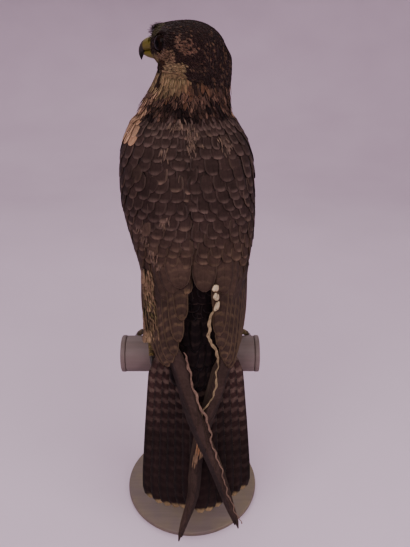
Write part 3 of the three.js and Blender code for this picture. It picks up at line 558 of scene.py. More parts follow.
def grid_object(name, rows_of_points):
    """A plain sheet through a grid of points in mm."""
    rows, columns = len(rows_of_points), len(rows_of_points[0])
    points = [p * MM for row in rows_of_points for p in row]
    corners = [row * columns + column for row in range(rows - 1) for column in range(columns - 1)]
    mesh = bpy.data.meshes.new(name)
    mesh.from_pydata(points, [], [(a, a + 1, a + 1 + columns, a + columns) for a in corners])
    return new_object(name, mesh)


def wing_core(name, wing):
    """The folded arm and the roots of its quills, a closed pad over the body's side."""
    rows = []
    for height in np.linspace(WING_TOP, CORE_FOOT, 24):
        first, last = edge_angle(wing, "lead", height), edge_angle(wing, "inner", height)
        rows.append([
            bed_point(wing, height, angle, core_thickness(wing, height, angle) - CORE_SUNK)
            for angle in np.linspace(first + 2, last - 1, 18)
        ])
    made = grid_object(name, rows)
    edit_whole(made, bpy.ops.mesh.normals_make_consistent, inside=False)
    apply_modifier(made, "SOLIDIFY", thickness=CORE_DEPTH * MM, offset=-outward_sign(made))
    return made


def outward_sign(obj):
    """+1 where the sheet's faces point away from the body, -1 where they point into it."""
    face = obj.data.polygons[len(obj.data.polygons) // 2]
    return 1 if face.normal.dot(face.center - BODY_MIDDLE * MM) > 0 else -1


def build_skin():
    """One skin for head, neck, body and thighs, under the coat by its depth."""
    skin = copy_of(["torso", "neck", "head", "thigh_left", "thigh_right"], "skin")
    skin = joined([skin] + [wing_core(f"arm_{name}", wing) for name, wing in WINGS.items()])
    refined(skin, 1.5, 10)
    apply_modifier(skin, "DISPLACE", strength=-COAT_DEPTH * MM, mid_level=0.0)
    return skin


class Coat:
    """Feathers gathered into one mesh, each a thin closed vane with its markings."""

    def __init__(self, name):
        self.name = name
        self.points, self.quads, self.bake = [], [], []
        self.carried = {kind: [] for kind in COLOURS + MEASURES}
        self.count = 0
        self.islands = 0

    def next_island(self, across=10, down=8):
        """Each long vane has a patch of its own on the baked sheet: its corner and its size."""
        column, row = self.islands % across, self.islands // across
        self.islands += 1
        return ((column + 0.05) / across, (row + 0.03) / down), (0.9 / across, 0.94 / down)

    def add(
        self, frames, shares, breadths, size, columns, look, patch,
        arch=0.12, thick=0.16, shaft=0.0, stripes=None, shades=None,
    ):
        """One vane: frames holds its middle line, the way across and outwards, each row by row.

        shaft is off the middle in half widths; stripes gives its bars' phase and strength, and shades its
        lightness, row by row.
        """
        length, width = size
        rows = len(shares)
        spots = np.linspace(-1, 1, columns)
        half = np.array(breadths) * width / 2
        middle, across, face = (np.array(part, float) for part in frames)
        bend = -arch * half[:, None] * spots[None, :] ** 2
        top = (
            middle[:, None, :]
            + across[:, None, :] * (half[:, None] * spots[None, :])[:, :, None]
            + face[:, None, :] * bend[:, :, None]
        )
        under = top[1:-1, 1:-1] - face[1:-1, None, :] * thick
        own = np.arange(rows * columns).reshape(rows, columns)
        inner = np.arange((rows - 2) * (columns - 2)).reshape(rows - 2, columns - 2)
        below = own.copy()
        below[1:-1, 1:-1] = rows * columns + inner
        for grid, order in ((own, (0, 3, 2, 1)), (below, (0, 1, 2, 3))):
            corners = grid[:-1, :-1], grid[:-1, 1:], grid[1:, 1:], grid[1:, :-1]
            quad = np.stack([corners[corner] for corner in order], axis=-1).reshape(-1, 4)
            self.quads.append(quad + self.count)

        def per_row(values):
            return np.repeat(np.array(values)[:, None], columns, 1)

        def per_point(values):
            """Values over the vane's grid for its upper face, then for the inner points of its lower face."""
            wide = values.shape[-1]
            return np.concatenate([values.reshape(-1, wide), values[1:-1, 1:-1].reshape(-1, wide)])

        share = per_row(shares)
        spot = np.repeat(spots[None, :], rows, 0)
        away = np.abs(spot - shaft)
        free = 1 - spot if shaft < 0 else 1 + spot if shaft > 0 else 1 - np.abs(spot)
        reach = per_point(np.stack([free * half[:, None], length * (1 - share), away * half[:, None]], -1))
        number = len(reach)
        self.points.append(np.concatenate([top.reshape(-1, 3), under.reshape(-1, 3)]))
        corner, extent = np.array(patch)
        self.bake.append(corner + per_point(np.stack([(spot + 1) / 2, share], -1)) * extent)
        *even, (spacing, strength, threshold) = look
        values = [np.tile(value, (number, 1)) for value in even]
        if shades is not None:
            values[0] = values[0] * per_point(per_row(shades)[:, :, None])
        if stripes is None:
            phases = rng.random() + length * share / spacing
            strengths = np.full_like(share, strength)
        else:
            phases, strengths = (per_row(part) for part in stripes)
        thresholds = np.full_like(share, threshold)
        stripe = per_point(np.stack([phases - BAR_CURVE * away**2, strengths, thresholds], -1))
        for store, part in zip(self.carried.values(), (*values, reach, stripe)):
            store.append(part)
        self.count += number

    def build(self):
        """The coat's object, with its map for baking and what its points carry."""
        points = np.concatenate(self.points) * MM
        quads = np.concatenate(self.quads)
        mesh = bpy.data.meshes.new(self.name)
        mesh.vertices.add(len(points))
        mesh.vertices.foreach_set("co", points.astype(np.float32).ravel())
        mesh.loops.add(quads.size)
        mesh.loops.foreach_set("vertex_index", quads.astype(np.int32).ravel())
        mesh.polygons.add(len(quads))
        mesh.polygons.foreach_set("loop_start", np.arange(0, quads.size, 4, dtype=np.int32))
        mesh.polygons.foreach_set("use_smooth", np.ones(len(quads), bool))
        mesh.update(calc_edges=True)
        layer = mesh.uv_layers.new(name="OFBake")
        layer.data.foreach_set("uv", np.concatenate(self.bake)[quads.ravel()].astype(np.float32).ravel())
        for kind, parts in self.carried.items():
            form, field = ("FLOAT_COLOR", "color") if kind in COLOURS else ("FLOAT_VECTOR", "vector")
            layer = mesh.attributes.new(kind, form, "POINT")
            layer.data.foreach_set(field, np.concatenate(parts).astype(np.float32).ravel())
        return new_object(self.name, mesh)


# Small feathers laid down on the skin

# Heights in mm where the markings of the body change, from its foot up
RUMP_TOP = 262
MANTLE_TOP = 371
BAND_TOP = 382
THROAT_FOOT = 383
COLLAR_TOP = 390
MALAR_FOOT = 393
# Areas of the left side of the neck: from and to in height, then in turn from the bird's left, in degrees
COLLAR_SIDE = (376, 389, -25, 45)
RUSTY_SHOULDER = (352, 377, -45, 37)
# The rump between the wings, painted near black with their shade: its middle and half its width in degrees
RUMP_TURN = (93, 34)
# How many worn barbs there are on each square of a worn place
WORN_DENSITY = 1.6
# Where the back is worn pale: height, turn round the body, extent up and down and round, and how much of it
WORN_PLACES = [
    (371, 87, 5, 9, 0.4),
    (362, 99, 10, 6, 0.5),
    (357, 129, 6, 6, 0.45),
    (353, 72, 4, 4, 0.4),
    (304, 72, 4, 4, 0.5),
    (328, 42, 5, 5, 0.6),
    (318, 42, 4, 5, 0.5),
    (290, 48, 6, 5, 0.6),
    (276, 54, 6, 5, 0.6),
    (269, 58, 4, 4, 0.5),
]

BODY_SHARES = [0, 0.3, 0.58, 0.78, 0.9, 0.97, 1]
BODY_BREADTHS = [0.5, 0.9, 1, 0.94, 0.74, 0.46, 0.2]
FACE_SHARES = [0, 0.4, 0.8, 1]
FACE_BREADTHS = [0.5, 1, 0.72, 0.15]
PATCH = 0.003
# How many places for feathers there are on the ball round the head, and feathers in the tuft on the forehead
HEAD_FEATHERS = 6500
FOREHEAD_TUFT = 420
# How far forward in the head's axes the tuft reaches, at its foot and at its top
TUFT_REACH = (33, 34)
# No feather grows on the eye, up to this far inside its opening and beyond this from the head's middle
# plane, or in front of and under the bill's root
EYE_MARGIN = 1.8
EYE_SIDE = 8
BILL_ROOT = Vector((28.2, 0, 4))
# How low the rows of the back go on the folded wings, at their leading edge and near the midline
LOWEST_BACK = (234, 263)
# How far feathers of one band reach into the next, in mm
RAGGED = 3.2
# How far a feather may leave the skin that it follows, in mm, and the least cosines for how it may turn
STRAY = 3.0
LEAST_TURN = 0.3
LEAST_HEADING = 0.6
# The streak of a feather that has none
NO_STREAK = -1.0
# How far the back's rows stand off the skin where they lie over the folded wings, and from which height down
ARM_COVER = 2.6
ARM_TOP = 345
# The lowest and the highest row, and the sine of the turn where the breast's coat meets the back's
ROWS_FOOT = 200.0
ROWS_TOP = 416
BREAST_EDGE = -0.15
# The gap between the folded wings over the rump, in degrees
WING_GAP = (72, 122)
# How far down the skin may face where a feather grows, for the back and for the front
LEAST_SLOPE = (-0.55, -0.95)
# Above this height the head's own coat may take over, behind a slanting edge that starts at HEAD_FOOT
HEAD_COAT_FOOT = 399
HEAD_FOOT = 404
HEAD_FOOT_SLOPE = 0.16


def laid_down(surface, root, normal, way, length, shares, lifts):
    """Walks down the surface from a feather's root, and goes straight on where the surface turns away."""
    here, face, heading = root, normal, way
    middles, faces, headings = [], [], []
    for order, share in enumerate(shares):
        if order:
            target = here + heading * (length * (share - shares[order - 1]))
            near, turned, _, away = surface.find_nearest(target * MM)
            bent = (face + turned).normalized()
            onward = (heading - bent * heading.dot(bent)).normalized()
            if away / MM < STRAY and turned.dot(face) > LEAST_TURN and onward.dot(way) > LEAST_HEADING:
                here, face, heading = near / MM, bent, onward
            else:
                here = target
        middles.append(here + face * lifts[order])
        faces.append(face)
        headings.append(heading)
    acrosses = [face.cross(heading) for face, heading in zip(faces, headings)]
    return middles, acrosses, faces


def feather_on(
    coat, surface, root, normal, way, size, lift, look, place, small=False, tilt=0.0, sunk=0.1, raised=(0, 0)
):
    """One body feather, its root sunk in the coat and its tip on it; raised lifts both off the skin.

    look is its colours, or the function that gives them for the place where it shows.
    """
    shares, breadths = (FACE_SHARES, FACE_BREADTHS) if small else (BODY_SHARES, BODY_BREADTHS)
    lifts = [lerp(*raised, share) + lerp(-sunk, lift, share**0.7) for share in shares]
    heading = (way - normal * way.dot(normal)).normalized()
    middles, acrosses, faces = laid_down(surface, root, normal, heading, size[0], shares, lifts)
    tilt += rng.uniform(-0.05, 0.05)
    acrosses = [(a + f * tilt).normalized() for a, f in zip(acrosses, faces)]
    if callable(look):
        look = look(middles[-2])
    corner = (place[0] - PATCH / 2, place[1] - PATCH / 2)
    coat.add(
        (middles, acrosses, faces), shares, breadths, size, 3 if small else 5, look, (corner, (PATCH, PATCH)),
        arch=0.08,
    )


def skin_hit(surface, middle, outward, reach=90):
    """The outermost point of the skin along a ray from the body's middle line, and its normal."""
    start = (middle + outward * reach) * MM
    found, normal, _, _ = surface.ray_cast(start, -outward, reach * MM)
    return None if found is None else (found / MM, normal)


def baked_at(across, up):
    """A place on the baked sheet, from 0 to 1 each way, a little inside its edges."""
    return 0.03 + 0.94 * across, 0.03 + 0.94 * up


def body_place(degrees, level):
    return baked_at((degrees % 360) / 360, (level - 190) / 230)


def look_of(ground, margin, mark=None, rims=(0.4, 0.6), streak=NO_STREAK, bars=(8.0, 0.0, 0.5), vary=0.12):
    """A feather's colours, its rims and its streak in mm, and its bars' spacing, strength and narrowness."""
    return varied(ground, vary), varied(margin, vary), varied(mark or ground, vary), (*rims, streak), bars


def streak_on(part, width):
    """The streak of feathers of which only a part is streaked."""
    return width if rng.random() < part else NO_STREAK


def turn_from(middle, degrees):
    """How far one turn is from another, from -180 to 180 degrees."""
    return (degrees - middle + 180) % 360 - 180


def wing_share(height, degrees):
    """How far inside a folded wing a place on the body is: below 0 outside, 0 at its leading edge."""
    if height > WING_TOP:
        return -1.0
    turn = degrees % 360
    if turn > 270:
        turn -= 360
    wing, own = (WINGS["left"], turn) if turn < 90 else (WINGS["right"], 180 - turn)
    return (own - edge_angle(wing, "lead", height)) / 90


def body_look(level, degrees):
    """Colours of a feather of the body or neck by its height and its turn round the body."""
    face_way = HEAD_TURN - 90
    turned = turn_from(0, degrees)
    nape = lerp(90, face_way + 180, smooth(372, 402, level))
    half = lerp(84, 49, smooth(380, 390, level)) + rng.uniform(-4, 4)
    away = abs(turn_from(nape, degrees))
    throat = abs(turn_from(face_way, degrees))
    height = level + rng.uniform(-RAGGED, RAGGED)
    low, high, start, end = COLLAR_SIDE
    if low < level < high and start < turned < end and rng.random() < 0.75:
        brown = blend_colour(NAPE, COLLAR, rng.uniform(0.2, 1))
        return look_of(brown, COLLAR, BREAST, rims=(0.3, 0.9), streak=streak_on(0.3, 0.5), vary=0.25)
    low, high, start, end = RUSTY_SHOULDER
    if low < level < high and start < turned < end + rng.uniform(-4, 4):
        warm = blend_colour(BREAST, RUSTY, rng.uniform(0, 0.6))
        return look_of(warm, BREAST, STREAK, rims=(0.5, 1.4), streak=streak_on(0.6, 0.7), vary=0.25)
    if height < MANTLE_TOP and (wing_share(height, degrees) > 0 or 0 <= degrees <= 180):
        return mantle_look(height, degrees)
    if away < half:
        return hindneck_look(height, degrees)
    malar = lerp(67, 50, smooth(396, 408, height))
    if height > MALAR_FOOT and abs(throat - malar) < 9 + rng.uniform(-3, 3):
        return look_of(MALAR, blend_colour(MALAR, RUSTY, 0.3), vary=0.3)
    if height > THROAT_FOOT:
        return throat_look(smooth(half + 26, half, away))
    pale = blend_colour(BREAST, BELLY, smooth(355, 300, height))
    if height < 285 or away < 125:
        return look_of(pale, BELLY, STREAK, rims=(0.3, 1.0), bars=(6.5, 1.0, 0.2))
    return look_of(pale, BELLY, STREAK, rims=(0.3, 1.0), streak=lerp(0.5, 1.3, smooth(375, 330, height)))


def throat_look(soiled):
    """Olive cream of the throat, mottled with brown, browner towards the dark feathers beside it."""
    pale = blend_colour(CREAM, RUSTY, rng.uniform(0, 0.3) + 0.4 * soiled * rng.random())
    if rng.random() < 0.22 + 0.45 * soiled:
        pale = blend_colour(pale, CROWN, rng.uniform(0.3, 0.75))
    return look_of(pale, CREAM, OLIVE, streak=streak_on(0.35, 0.5), vary=0.18)


def mantle_look(height, degrees):
    """Dark feathers of the back and shoulders, each with a soft paler rim, worn pale in places."""
    turn = degrees % 360
    middle, half = RUMP_TURN
    # the rump between the wings: its dark brown painted near black, as painted shade of the wings
    if height < RUMP_TOP and abs(turn - middle) < half:
        return look_of(SHADED_RUMP, blend_colour(SHADED_RUMP, FLIGHT_BAR, 0.4), rims=(0.3, 0.8), vary=0.2)
    lower = smooth(300, RUMP_TOP, height)
    ground = blend_colour(BACK, LOWER_BACK, lower * rng.uniform(0.5, 1))
    margin = blend_colour(BACK_EDGE, LOWER_EDGE, lower)
    for worn_height, worn_turn, tall, wide, strength in WORN_PLACES:
        near = ((height - worn_height) / tall) ** 2 + ((turn - worn_turn) / wide) ** 2
        if near < 1:
            ground = blend_colour(ground, WORN, 0.25 * strength * rng.random())
            margin = blend_colour(margin, WORN, 0.7 * strength)
    if rng.random() < 0.08:
        margin = blend_colour(margin, WORN, 0.5)
    margin = blend_colour(margin, ground, rng.uniform(0.15, 0.5))
    rims = (rng.uniform(0.8, 1.5), rng.uniform(2.0, 3.2))
    return look_of(ground, margin, margin, rims=rims, bars=(7.5, 0.35, 0.72), vary=0.16)


def hindneck_look(height, degrees):
    """The dark hindneck with soft brown streaks, down to a ruffled brown collar and a dark band under it."""
    if height < BAND_TOP:
        clump = 0.5 + 0.5 * math.sin(0.13 * degrees + 0.4 * height)
        dark = blend_colour(NAPE, COLLAR, 0.9 * clump**3 * rng.random())
        return look_of(dark, blend_colour(dark, COLLAR, 0.25 * clump), rims=(0.3, 0.9), vary=0.3)
    if height < COLLAR_TOP and rng.random() < 0.8:
        brown = blend_colour(NAPE, COLLAR, rng.uniform(0.2, 0.95))
        return look_of(brown, COLLAR, NAPE, rims=(0.3, 0.9), streak=streak_on(0.5, 0.6), vary=0.25)
    if rng.random() < 0.3:
        brown = blend_colour(NAPE_STREAK, RUSTY, rng.random() * 0.6)
        soft = blend_colour(NAPE, brown, rng.uniform(0.2, 0.6))
        return look_of(soft, brown, brown, rims=(0.4, 0.5), vary=0.3)
    dark = blend_colour(NAPE, COLLAR, rng.random() * 0.25)
    return look_of(dark, blend_colour(NAPE, COLLAR, 0.3), rims=(0.2, 0.5), vary=0.3)


def body_turn(place):
    """How far round its level section a place is, from +X towards the back, in degrees."""
    _, x, y, half, front, back = station(BODY, clamp(place.z, 193, 427))
    depth = back if place.y > y else front
    return math.degrees(math.atan2((place.y - y) / depth, (place.x - x) / half)) % 360


def body_look_at(place):
    return body_look(place.z, body_turn(place))


def head_look_at(place):
    return head_look(to_head(place))


def tree_of(skin, coats):
    """A search tree over the skin and the vanes that lie on it."""
    points = [vertex.co.copy() for vertex in skin.data.vertices]
    faces = [tuple(face.vertices) for face in skin.data.polygons]
    for coat in coats:
        first = len(points)
        points += [Vector(point) for point in np.concatenate(coat.points) * MM]
        faces += [tuple(int(corner) + first for corner in quad) for quad in np.concatenate(coat.quads)]
    return BVHTree.FromPolygons(points, faces)


def feather_size(height, front):
    """Spacing across and down, width and length of the body's feathers: small on the neck, larger below."""
    small = smooth(350, 386, height)
    if front:
        return lerp(6.2, 2.2, small), lerp(5.2, 3.0, small), lerp(8.6, 3.2, small), lerp(15, 9.5, small)
    return lerp(9.1, 2.2, small), lerp(6.9, 3.0, small), lerp(12.8, 3.2, small), lerp(17, 9.5, small)


def build_body_coat(surface):
    """Rows of feathers round the body and neck, each row laid half a feather off the one below."""
    coats = []
    for name, front in (("plumage_back", False), ("plumage_breast", True)):
        coat = Coat(name)
        height, row = ROWS_FOOT, 0
        while height < ROWS_TOP:
            across, down_step, _, _ = feather_size(height, front)
            _, _, _, half, fore, aft = station(BODY, height)
            count = max(8, int(math.pi * (half + (fore + aft) / 2) / across))
            for number in range(count):
                degrees = 360 * (number + 0.5 * (row % 2) + rng.uniform(-0.1, 0.1)) / count
                if (math.sin(math.radians(degrees)) < BREAST_EDGE) == front:
                    body_feather(coat, surface, height, degrees, front)
            height += down_step
            row += 1
        if not front:
            build_worn_barbs(coat, surface)
        coats.append(coat)
    return coats


def body_feather(coat, surface, height, degrees, front):
    """A feather of one row, if there is skin for it; the back's go down over the wings to LOWEST_BACK."""
    _, down_step, width, length = feather_size(height, front)
    _, x, y, *_ = station(BODY, height)
    level = height + rng.uniform(-0.12, 0.12) * down_step
    shown = level - length
    between = level < RUMP_TOP and WING_GAP[0] < degrees < WING_GAP[1]
    over = not front and level < ARM_TOP and wing_share(level - 4, degrees) > -0.03 and not between
    if over and shown < lerp(*LOWEST_BACK, smooth(0.2, 0.65, wing_share(level - 10, degrees))):
        return
    angle = math.radians(degrees)
    outward = Vector((math.cos(angle), math.sin(angle), 0))
    hit = skin_hit(surface, Vector((x, y, level)), outward)
    if hit is None or hit[1].z < LEAST_SLOPE[front] or (hit[0].z > HEAD_COAT_FOOT and in_head(hit[0])):
        return
    ruffled = smooth(378, 386, level) * smooth(404, 396, level)
    sway = 0.07 + 0.3 * ruffled
    down = Vector((0, 0, -1)) + outward * 0.05
    down += Vector((rng.uniform(-sway, sway), rng.uniform(-sway, sway), 0))
    size = (length * rng.uniform(0.92, 1.1), width * rng.uniform(0.92, 1.12))
    lift = lerp(0.9, 0.4, smooth(366, 392, level)) + rng.uniform(0, 0.15) + 1.6 * ruffled * rng.random()
    raised = [ARM_COVER * smooth(ARM_TOP, 300, at) if over else 0 for at in (level, shown)]
    feather_on(
        coat, surface, *hit, down, size, lift, body_look_at, body_place(degrees, level),
        small=width < 5, tilt=0.07 if math.cos(angle) > 0 else -0.07, raised=raised,
    )


def to_head(place):
    """A place in mm in the head's own axes."""
    return HEAD_AXES.inverted() @ (place * MM) / MM


def in_head(place):
    return place.z > HEAD_FOOT + HEAD_FOOT_SLOPE * place.x


def head_look(own):
    """Colours of a head feather: dark cap and lores, buff cheek, rusty patch, moustache, olive throat."""
    side = abs(own.y)
    x, z = own.x + rng.uniform(-1.2, 1.2), own.z + rng.uniform(-1.2, 1.2)
    if z < -12 and own.x > -6 and side < 12:
        return throat_look(0.2)
    if 3.5 < x < 14 and z < -8.5:
        return look_of(MALAR, blend_colour(MALAR, RUSTY, 0.3), vary=0.3)
    if x > 13 and z < -5:
        return throat_look(0.4)
    if -7 < x < 13 and z < -0.5:
        pink = blend_colour(CHEEK, CREAM, 0.25 + 0.6 * smooth(-6, -14, z))
        if rng.random() < 0.25:
            pink = blend_colour(pink, CROWN, rng.uniform(0.3, 0.8))
        return look_of(pink, pink, CROWN, streak=streak_on(0.3, 0.3), vary=0.25)
    if -10.8 < x < -8 and 2 < z < 11:
        return look_of(blend_colour(CROWN, CHEEK, rng.uniform(0.5, 1)), CHEEK, vary=0.2)
    patch = ((x + 17.5) / 7) ** 2 + ((z - 1.6) / 5.6) ** 2
    if patch < 1 and rng.random() < 0.66:
        brown = blend_colour(COLLAR, RUSTY, 0.6 * rng.random())
        return look_of(blend_colour(CROWN, brown, rng.uniform(0.25, 0.8)), CHEEK, vary=0.25)
    if -16 < x < 5 and z < -10:
        return throat_look(0.5)
    if own.x > 13 and own.z > 8:
        return look_of(blend_colour(CROWN, FOREHEAD, rng.uniform(0.3, 1)), FOREHEAD, vary=0.25)
    if rng.random() < 0.07 + 0.12 * smooth(-20, -30, own.x):
        brown = blend_colour(NAPE_STREAK, CROWN, rng.uniform(0.3, 0.8))
        return look_of(brown, brown, vary=0.3)
    return look_of(CROWN, blend_colour(CROWN, COLLAR, 0.25), rims=(0.15, 0.4), vary=0.3)


def build_head_coat(surface):
    """Small close feathers from the bill back over the head and round the nape, with a tuft over the cere."""
    coat = Coat("plumage_head")
    axis = HEAD_AXES.to_3x3()
    golden = math.pi * (3 - math.sqrt(5))
    middle = HEAD_AXES @ (Vector((-2, 0, 0)) * MM) / MM
    for number in range(HEAD_FEATHERS):
        # places spread evenly over a ball that looks along the bill
        polar = math.acos(1 - 2 * (number + 0.5) / HEAD_FEATHERS)
        turn = number * golden
        aim = Vector((math.cos(polar), math.sin(polar) * math.cos(turn), math.sin(polar) * math.sin(turn)))
        hit = skin_hit(surface, middle, axis @ aim, reach=60)
        if hit is None or not in_head(hit[0]):
            continue
        own = to_head(hit[0])
        eye_way = Vector((own.x - EYE.x, own.z - EYE.z))
        brow = smooth(0, 4, own.z - EYE.z)
        on_glass = eye_way.length < EYE_OPENING - EYE_MARGIN and abs(own.y) > EYE_SIDE
        if on_glass or (own.x > BILL_ROOT.x and own.z < BILL_ROOT.z):
            continue
        fine = smooth(2, 22, own.x)
        width = lerp(2.3, 1.3, fine) * rng.uniform(0.9, 1.2)
        length = lerp(7, 3.6, fine) * rng.uniform(0.85, 1.2)
        down = Vector((0, 0, -1)) * lerp(0.15, 1.5, smooth(-4, -32, own.x))
        way = axis @ Vector((-1, 0, 0)) + down + Vector([rng.uniform(-0.18, 0.18) for _ in range(3)])
        place = baked_at((turn % (2 * math.pi)) / (2 * math.pi), polar / math.pi)
        ruffled = (0.5 + 0.6 * brow) * smooth(11, 7, eye_way.length)
        lift = lerp(0.5, 0.3, fine) + rng.uniform(0, 0.25) + ruffled
        feather_on(coat, surface, *hit, way, (length, width), lift, head_look_at, place, small=True)
    build_forehead_tuft(coat, surface)
    return coat


def build_forehead_tuft(coat, surface):
    """Feathers that stand off the forehead, the top ones upwards, the low ones down over the cere."""
    axis = HEAD_AXES.to_3x3()
    for _ in range(FOREHEAD_TUFT):
        high = rng.random()
        own = Vector((rng.uniform(17, 21), rng.uniform(-7, 7), 4))
        slant = math.radians(lerp(5, 78, high))
        start = HEAD_AXES @ (own * MM) / MM
        hit = skin_hit(surface, start, axis @ Vector((math.cos(slant), 0, math.sin(slant))), reach=30)
        if hit is None:
            continue
        root = to_head(hit[0])
        rise = lerp(-0.45, 0.32, high) + rng.uniform(-0.12, 0.12)
        way = (axis @ Vector((1, own.y * 0.03 + rng.uniform(-0.25, 0.25), rise))).normalized()
        face = (axis @ Vector((-rise, 0, 1))).normalized()
        look = look_of(blend_colour(CROWN, FOREHEAD, rng.uniform(0.1, 0.85) * high), CROWN, vary=0.3)
        length = min(rng.uniform(4, 7), lerp(*TUFT_REACH, high) - root.x)
        if length < 2:
            continue
        start = hit[0] - way * 0.8
        middles = [start + way * length * share - face * 0.5 * share**2 for share in FACE_SHARES]
        patch = ((0.5 + own.y * 0.01, 0.9 + 0.02 * high), (PATCH, PATCH))
        coat.add(
            (middles, [face.cross(way)] * 4, [face] * 4), FACE_SHARES, FACE_BREADTHS,
            (length, rng.uniform(1.2, 1.8)), 3, look, patch,
        )


def build_worn_barbs(coat, ground):
    """Frayed pale barbs over the worn places of the back."""
    for height, turn, tall, wide, strength in WORN_PLACES:
        for _ in range(int(WORN_DENSITY * tall * wide * strength)):
            level = height + tall * rng.gauss(0, 0.5)
            angle = math.radians(turn + wide * rng.gauss(0, 0.5))
            _, x, y, half, fore, aft = station(BODY, level)
            depth = aft if math.sin(angle) > 0 else fore
            outward = Vector((half * math.cos(angle), depth * math.sin(angle), 0)).normalized()
            hit = skin_hit(ground, Vector((x, y, level)), outward)
            if hit is None:
                continue
            worn = blend_colour(WORN, BACK_EDGE, rng.random())
            look = look_of(worn, worn, vary=0.25)
            way = Vector((rng.uniform(-0.35, 0.35), rng.uniform(-0.35, 0.35), -1))
            size = (rng.uniform(5, 9), rng.uniform(0.9, 1.8))
            cover, sunk = (ARM_COVER, -2.4) if level < 310 else (0, -0.6)
            feather_on(
                coat, ground, hit[0], outward, way, size, rng.uniform(1.2, 1.8) + cover, look,
                body_place(turn, level), small=True, sunk=sunk,
            )


# The flank's tuft: its rows in height and in turn, as from, to and step; its length, and where it is soiled
FLANK_ROWS = (258, 210, -3.6)
FLANK_TURNS = (22, 42, 4)
FLANK_LENGTH = 12
FLANK_SOILED = (211, 223)
# The thigh's rows in height, and how many feathers are in one
THIGH_ROWS = (204, 246, 5.2)
THIGH_COUNT = 12
# The thigh's skin is no farther than this from its middle, and faces this much outwards; beyond lies the wing
THIGH_REACH = 17
THIGH_FACING = 0.45


def build_flank_tuft(coat, clothed):
    """Pale barred feathers of the left flank and thigh, pulled out over the wing's leading edge."""
    low, high = FLANK_SOILED
    for level in np.arange(*FLANK_ROWS):
        for turn in np.arange(*FLANK_TURNS):
            angle = math.radians(turn + rng.uniform(-1.5, 1.5))
            outward = Vector((math.cos(angle), math.sin(angle), 0))
            _, x, y, *_ = station(BODY, level)
            hit = skin_hit(clothed, Vector((x, y, level + rng.uniform(-1, 1))), outward)
            if hit is None:
                continue
            pale = blend_colour(COLLAR, CREAM, rng.uniform(0.2, 0.8))
            pale = blend_colour(pale, LOWER_BACK, rng.uniform(0, 0.3))
            shown = level - FLANK_LENGTH
            if low < shown < high:
                pale = blend_colour(pale, SOILED, rng.uniform(0.2, 0.8))
            margin = pale if shown > low else CREAM
            look = look_of(pale, margin, LOWER_BACK, rims=(0.4, 1.0), bars=(6.0, 0.5, 0.1), vary=0.18)
            size = (rng.uniform(11, 15), rng.uniform(5.6, 7.2))
            feather_on(
                coat, clothed, hit[0], outward, Vector((0.1, 0, -1)), size, rng.uniform(1.3, 1.8), look,
                (0.8 + 0.003 * turn, 0.9 * (level - 200) / 60), sunk=-0.5, tilt=0.05,
            )


def build_thigh_coat(surface, clothed):
    """The loose trousers of the thighs, down over the tops of the shanks."""
    coat = Coat("plumage_thighs")
    for side in (1, -1):
        for row, height in enumerate(np.arange(*THIGH_ROWS)):
            share = (height - 203) / 47
            middle = Vector((-2 + side * lerp(36.5, 26, share), lerp(-1, -18, share), height))
            for number in range(THIGH_COUNT):
                angle = 2 * math.pi * (number + 0.5 * (row % 2) + rng.uniform(-0.15, 0.15)) / THIGH_COUNT
                outward = Vector((math.cos(angle), math.sin(angle), 0))
                hit = skin_hit(surface, middle, outward, reach=24)
                if hit is None or hit[1].dot(outward) < THIGH_FACING:
                    continue
                if (hit[0] - middle).length > THIGH_REACH:
                    continue
                look = look_of(BELLY, CREAM, STREAK, rims=(0.3, 0.8), bars=(6.0, 1.0, 0.3))
                round_it = (angle % (2 * math.pi)) / (2 * math.pi)
                place = (0.25 + 0.25 * side + 0.45 * round_it, 0.1 + 0.8 * share)
                feather_on(
                    coat, surface, *hit, Vector((0, 0, -1)) + outward * 0.04,
                    (rng.uniform(16, 22), rng.uniform(6.5, 8)), rng.uniform(0.8, 1.5), look, place,
                )
    build_flank_tuft(coat, clothed)
    return coat


# Wings

FLIGHT_ROWS = 18
# Outlines of the long vanes: the share of the way to the tip, and of the full width there
PRIMARY_BREADTHS = [
    (0, 0.4), (0.12, 0.85), (0.3, 1), (0.55, 1), (0.75, 0.86), (0.88, 0.62), (0.96, 0.36), (1, 0.08),
]
REMEX_BREADTHS = [(0, 0.45), (0.3, 0.95), (0.7, 1), (0.88, 0.86), (0.96, 0.6), (1, 0.2)]
COVERT_BREADTHS = [(0, 0.5), (0.4, 0.96), (0.7, 1), (0.86, 0.84), (0.95, 0.56), (1, 0.16)]
TAIL_BREADTHS = [(0, 0.35), (0.22, 0.82), (0.6, 0.96), (0.86, 1), (0.94, 0.9), (0.985, 0.6), (1, 0.2)]


def breadth_at(outline, share):
    return float(np.interp(share, [s for s, _ in outline], [b for _, b in outline]))


def vane_shares(rows):
    """Places along a long vane, closer together at its tip."""
    return [1 - (1 - t) ** 1.25 for t in np.linspace(0, 1, rows)]


def wing_vane(coat, wing, route, outline, width, tilt, look, rows=9, columns=5, shaft=0.0):
    """A vane over the wing's bed along a route of height, angle and lift; its leading edge stands higher."""
    shares = vane_shares(rows)
    near = 0.01
    middles, acrosses, faces = [], [], []
    for share in shares:
        height, angle, _ = route(share)
        along = bed_point(wing, *route(min(share + near, 1))) - bed_point(wing, *route(max(share - near, 0)))
        along.normalize()
        normal = bed_normal(wing, height, angle)
        lead_way = (along.cross(normal) * wing["side"]).normalized()
        turn = math.radians(tilt) * smooth(0, 0.7, share)
        middles.append(bed_point(wing, *route(share)))
        # the way across runs from the left to the right as seen from outside, so that the faces point out
        acrosses.append((lead_way * math.cos(turn) + normal * math.sin(turn)) * -wing["side"])
        faces.append(normal * math.cos(turn) - lead_way * math.sin(turn))
    breadths = [breadth_at(outline, share) for share in shares]
    length = (bed_point(wing, *route(1)) - bed_point(wing, *route(0))).length
    coat.add(
        (middles, acrosses, faces), shares, breadths, (length, width), columns, look, coat.next_island(),
        arch=0.1, thick=0.3, shaft=shaft * wing["side"],
    )


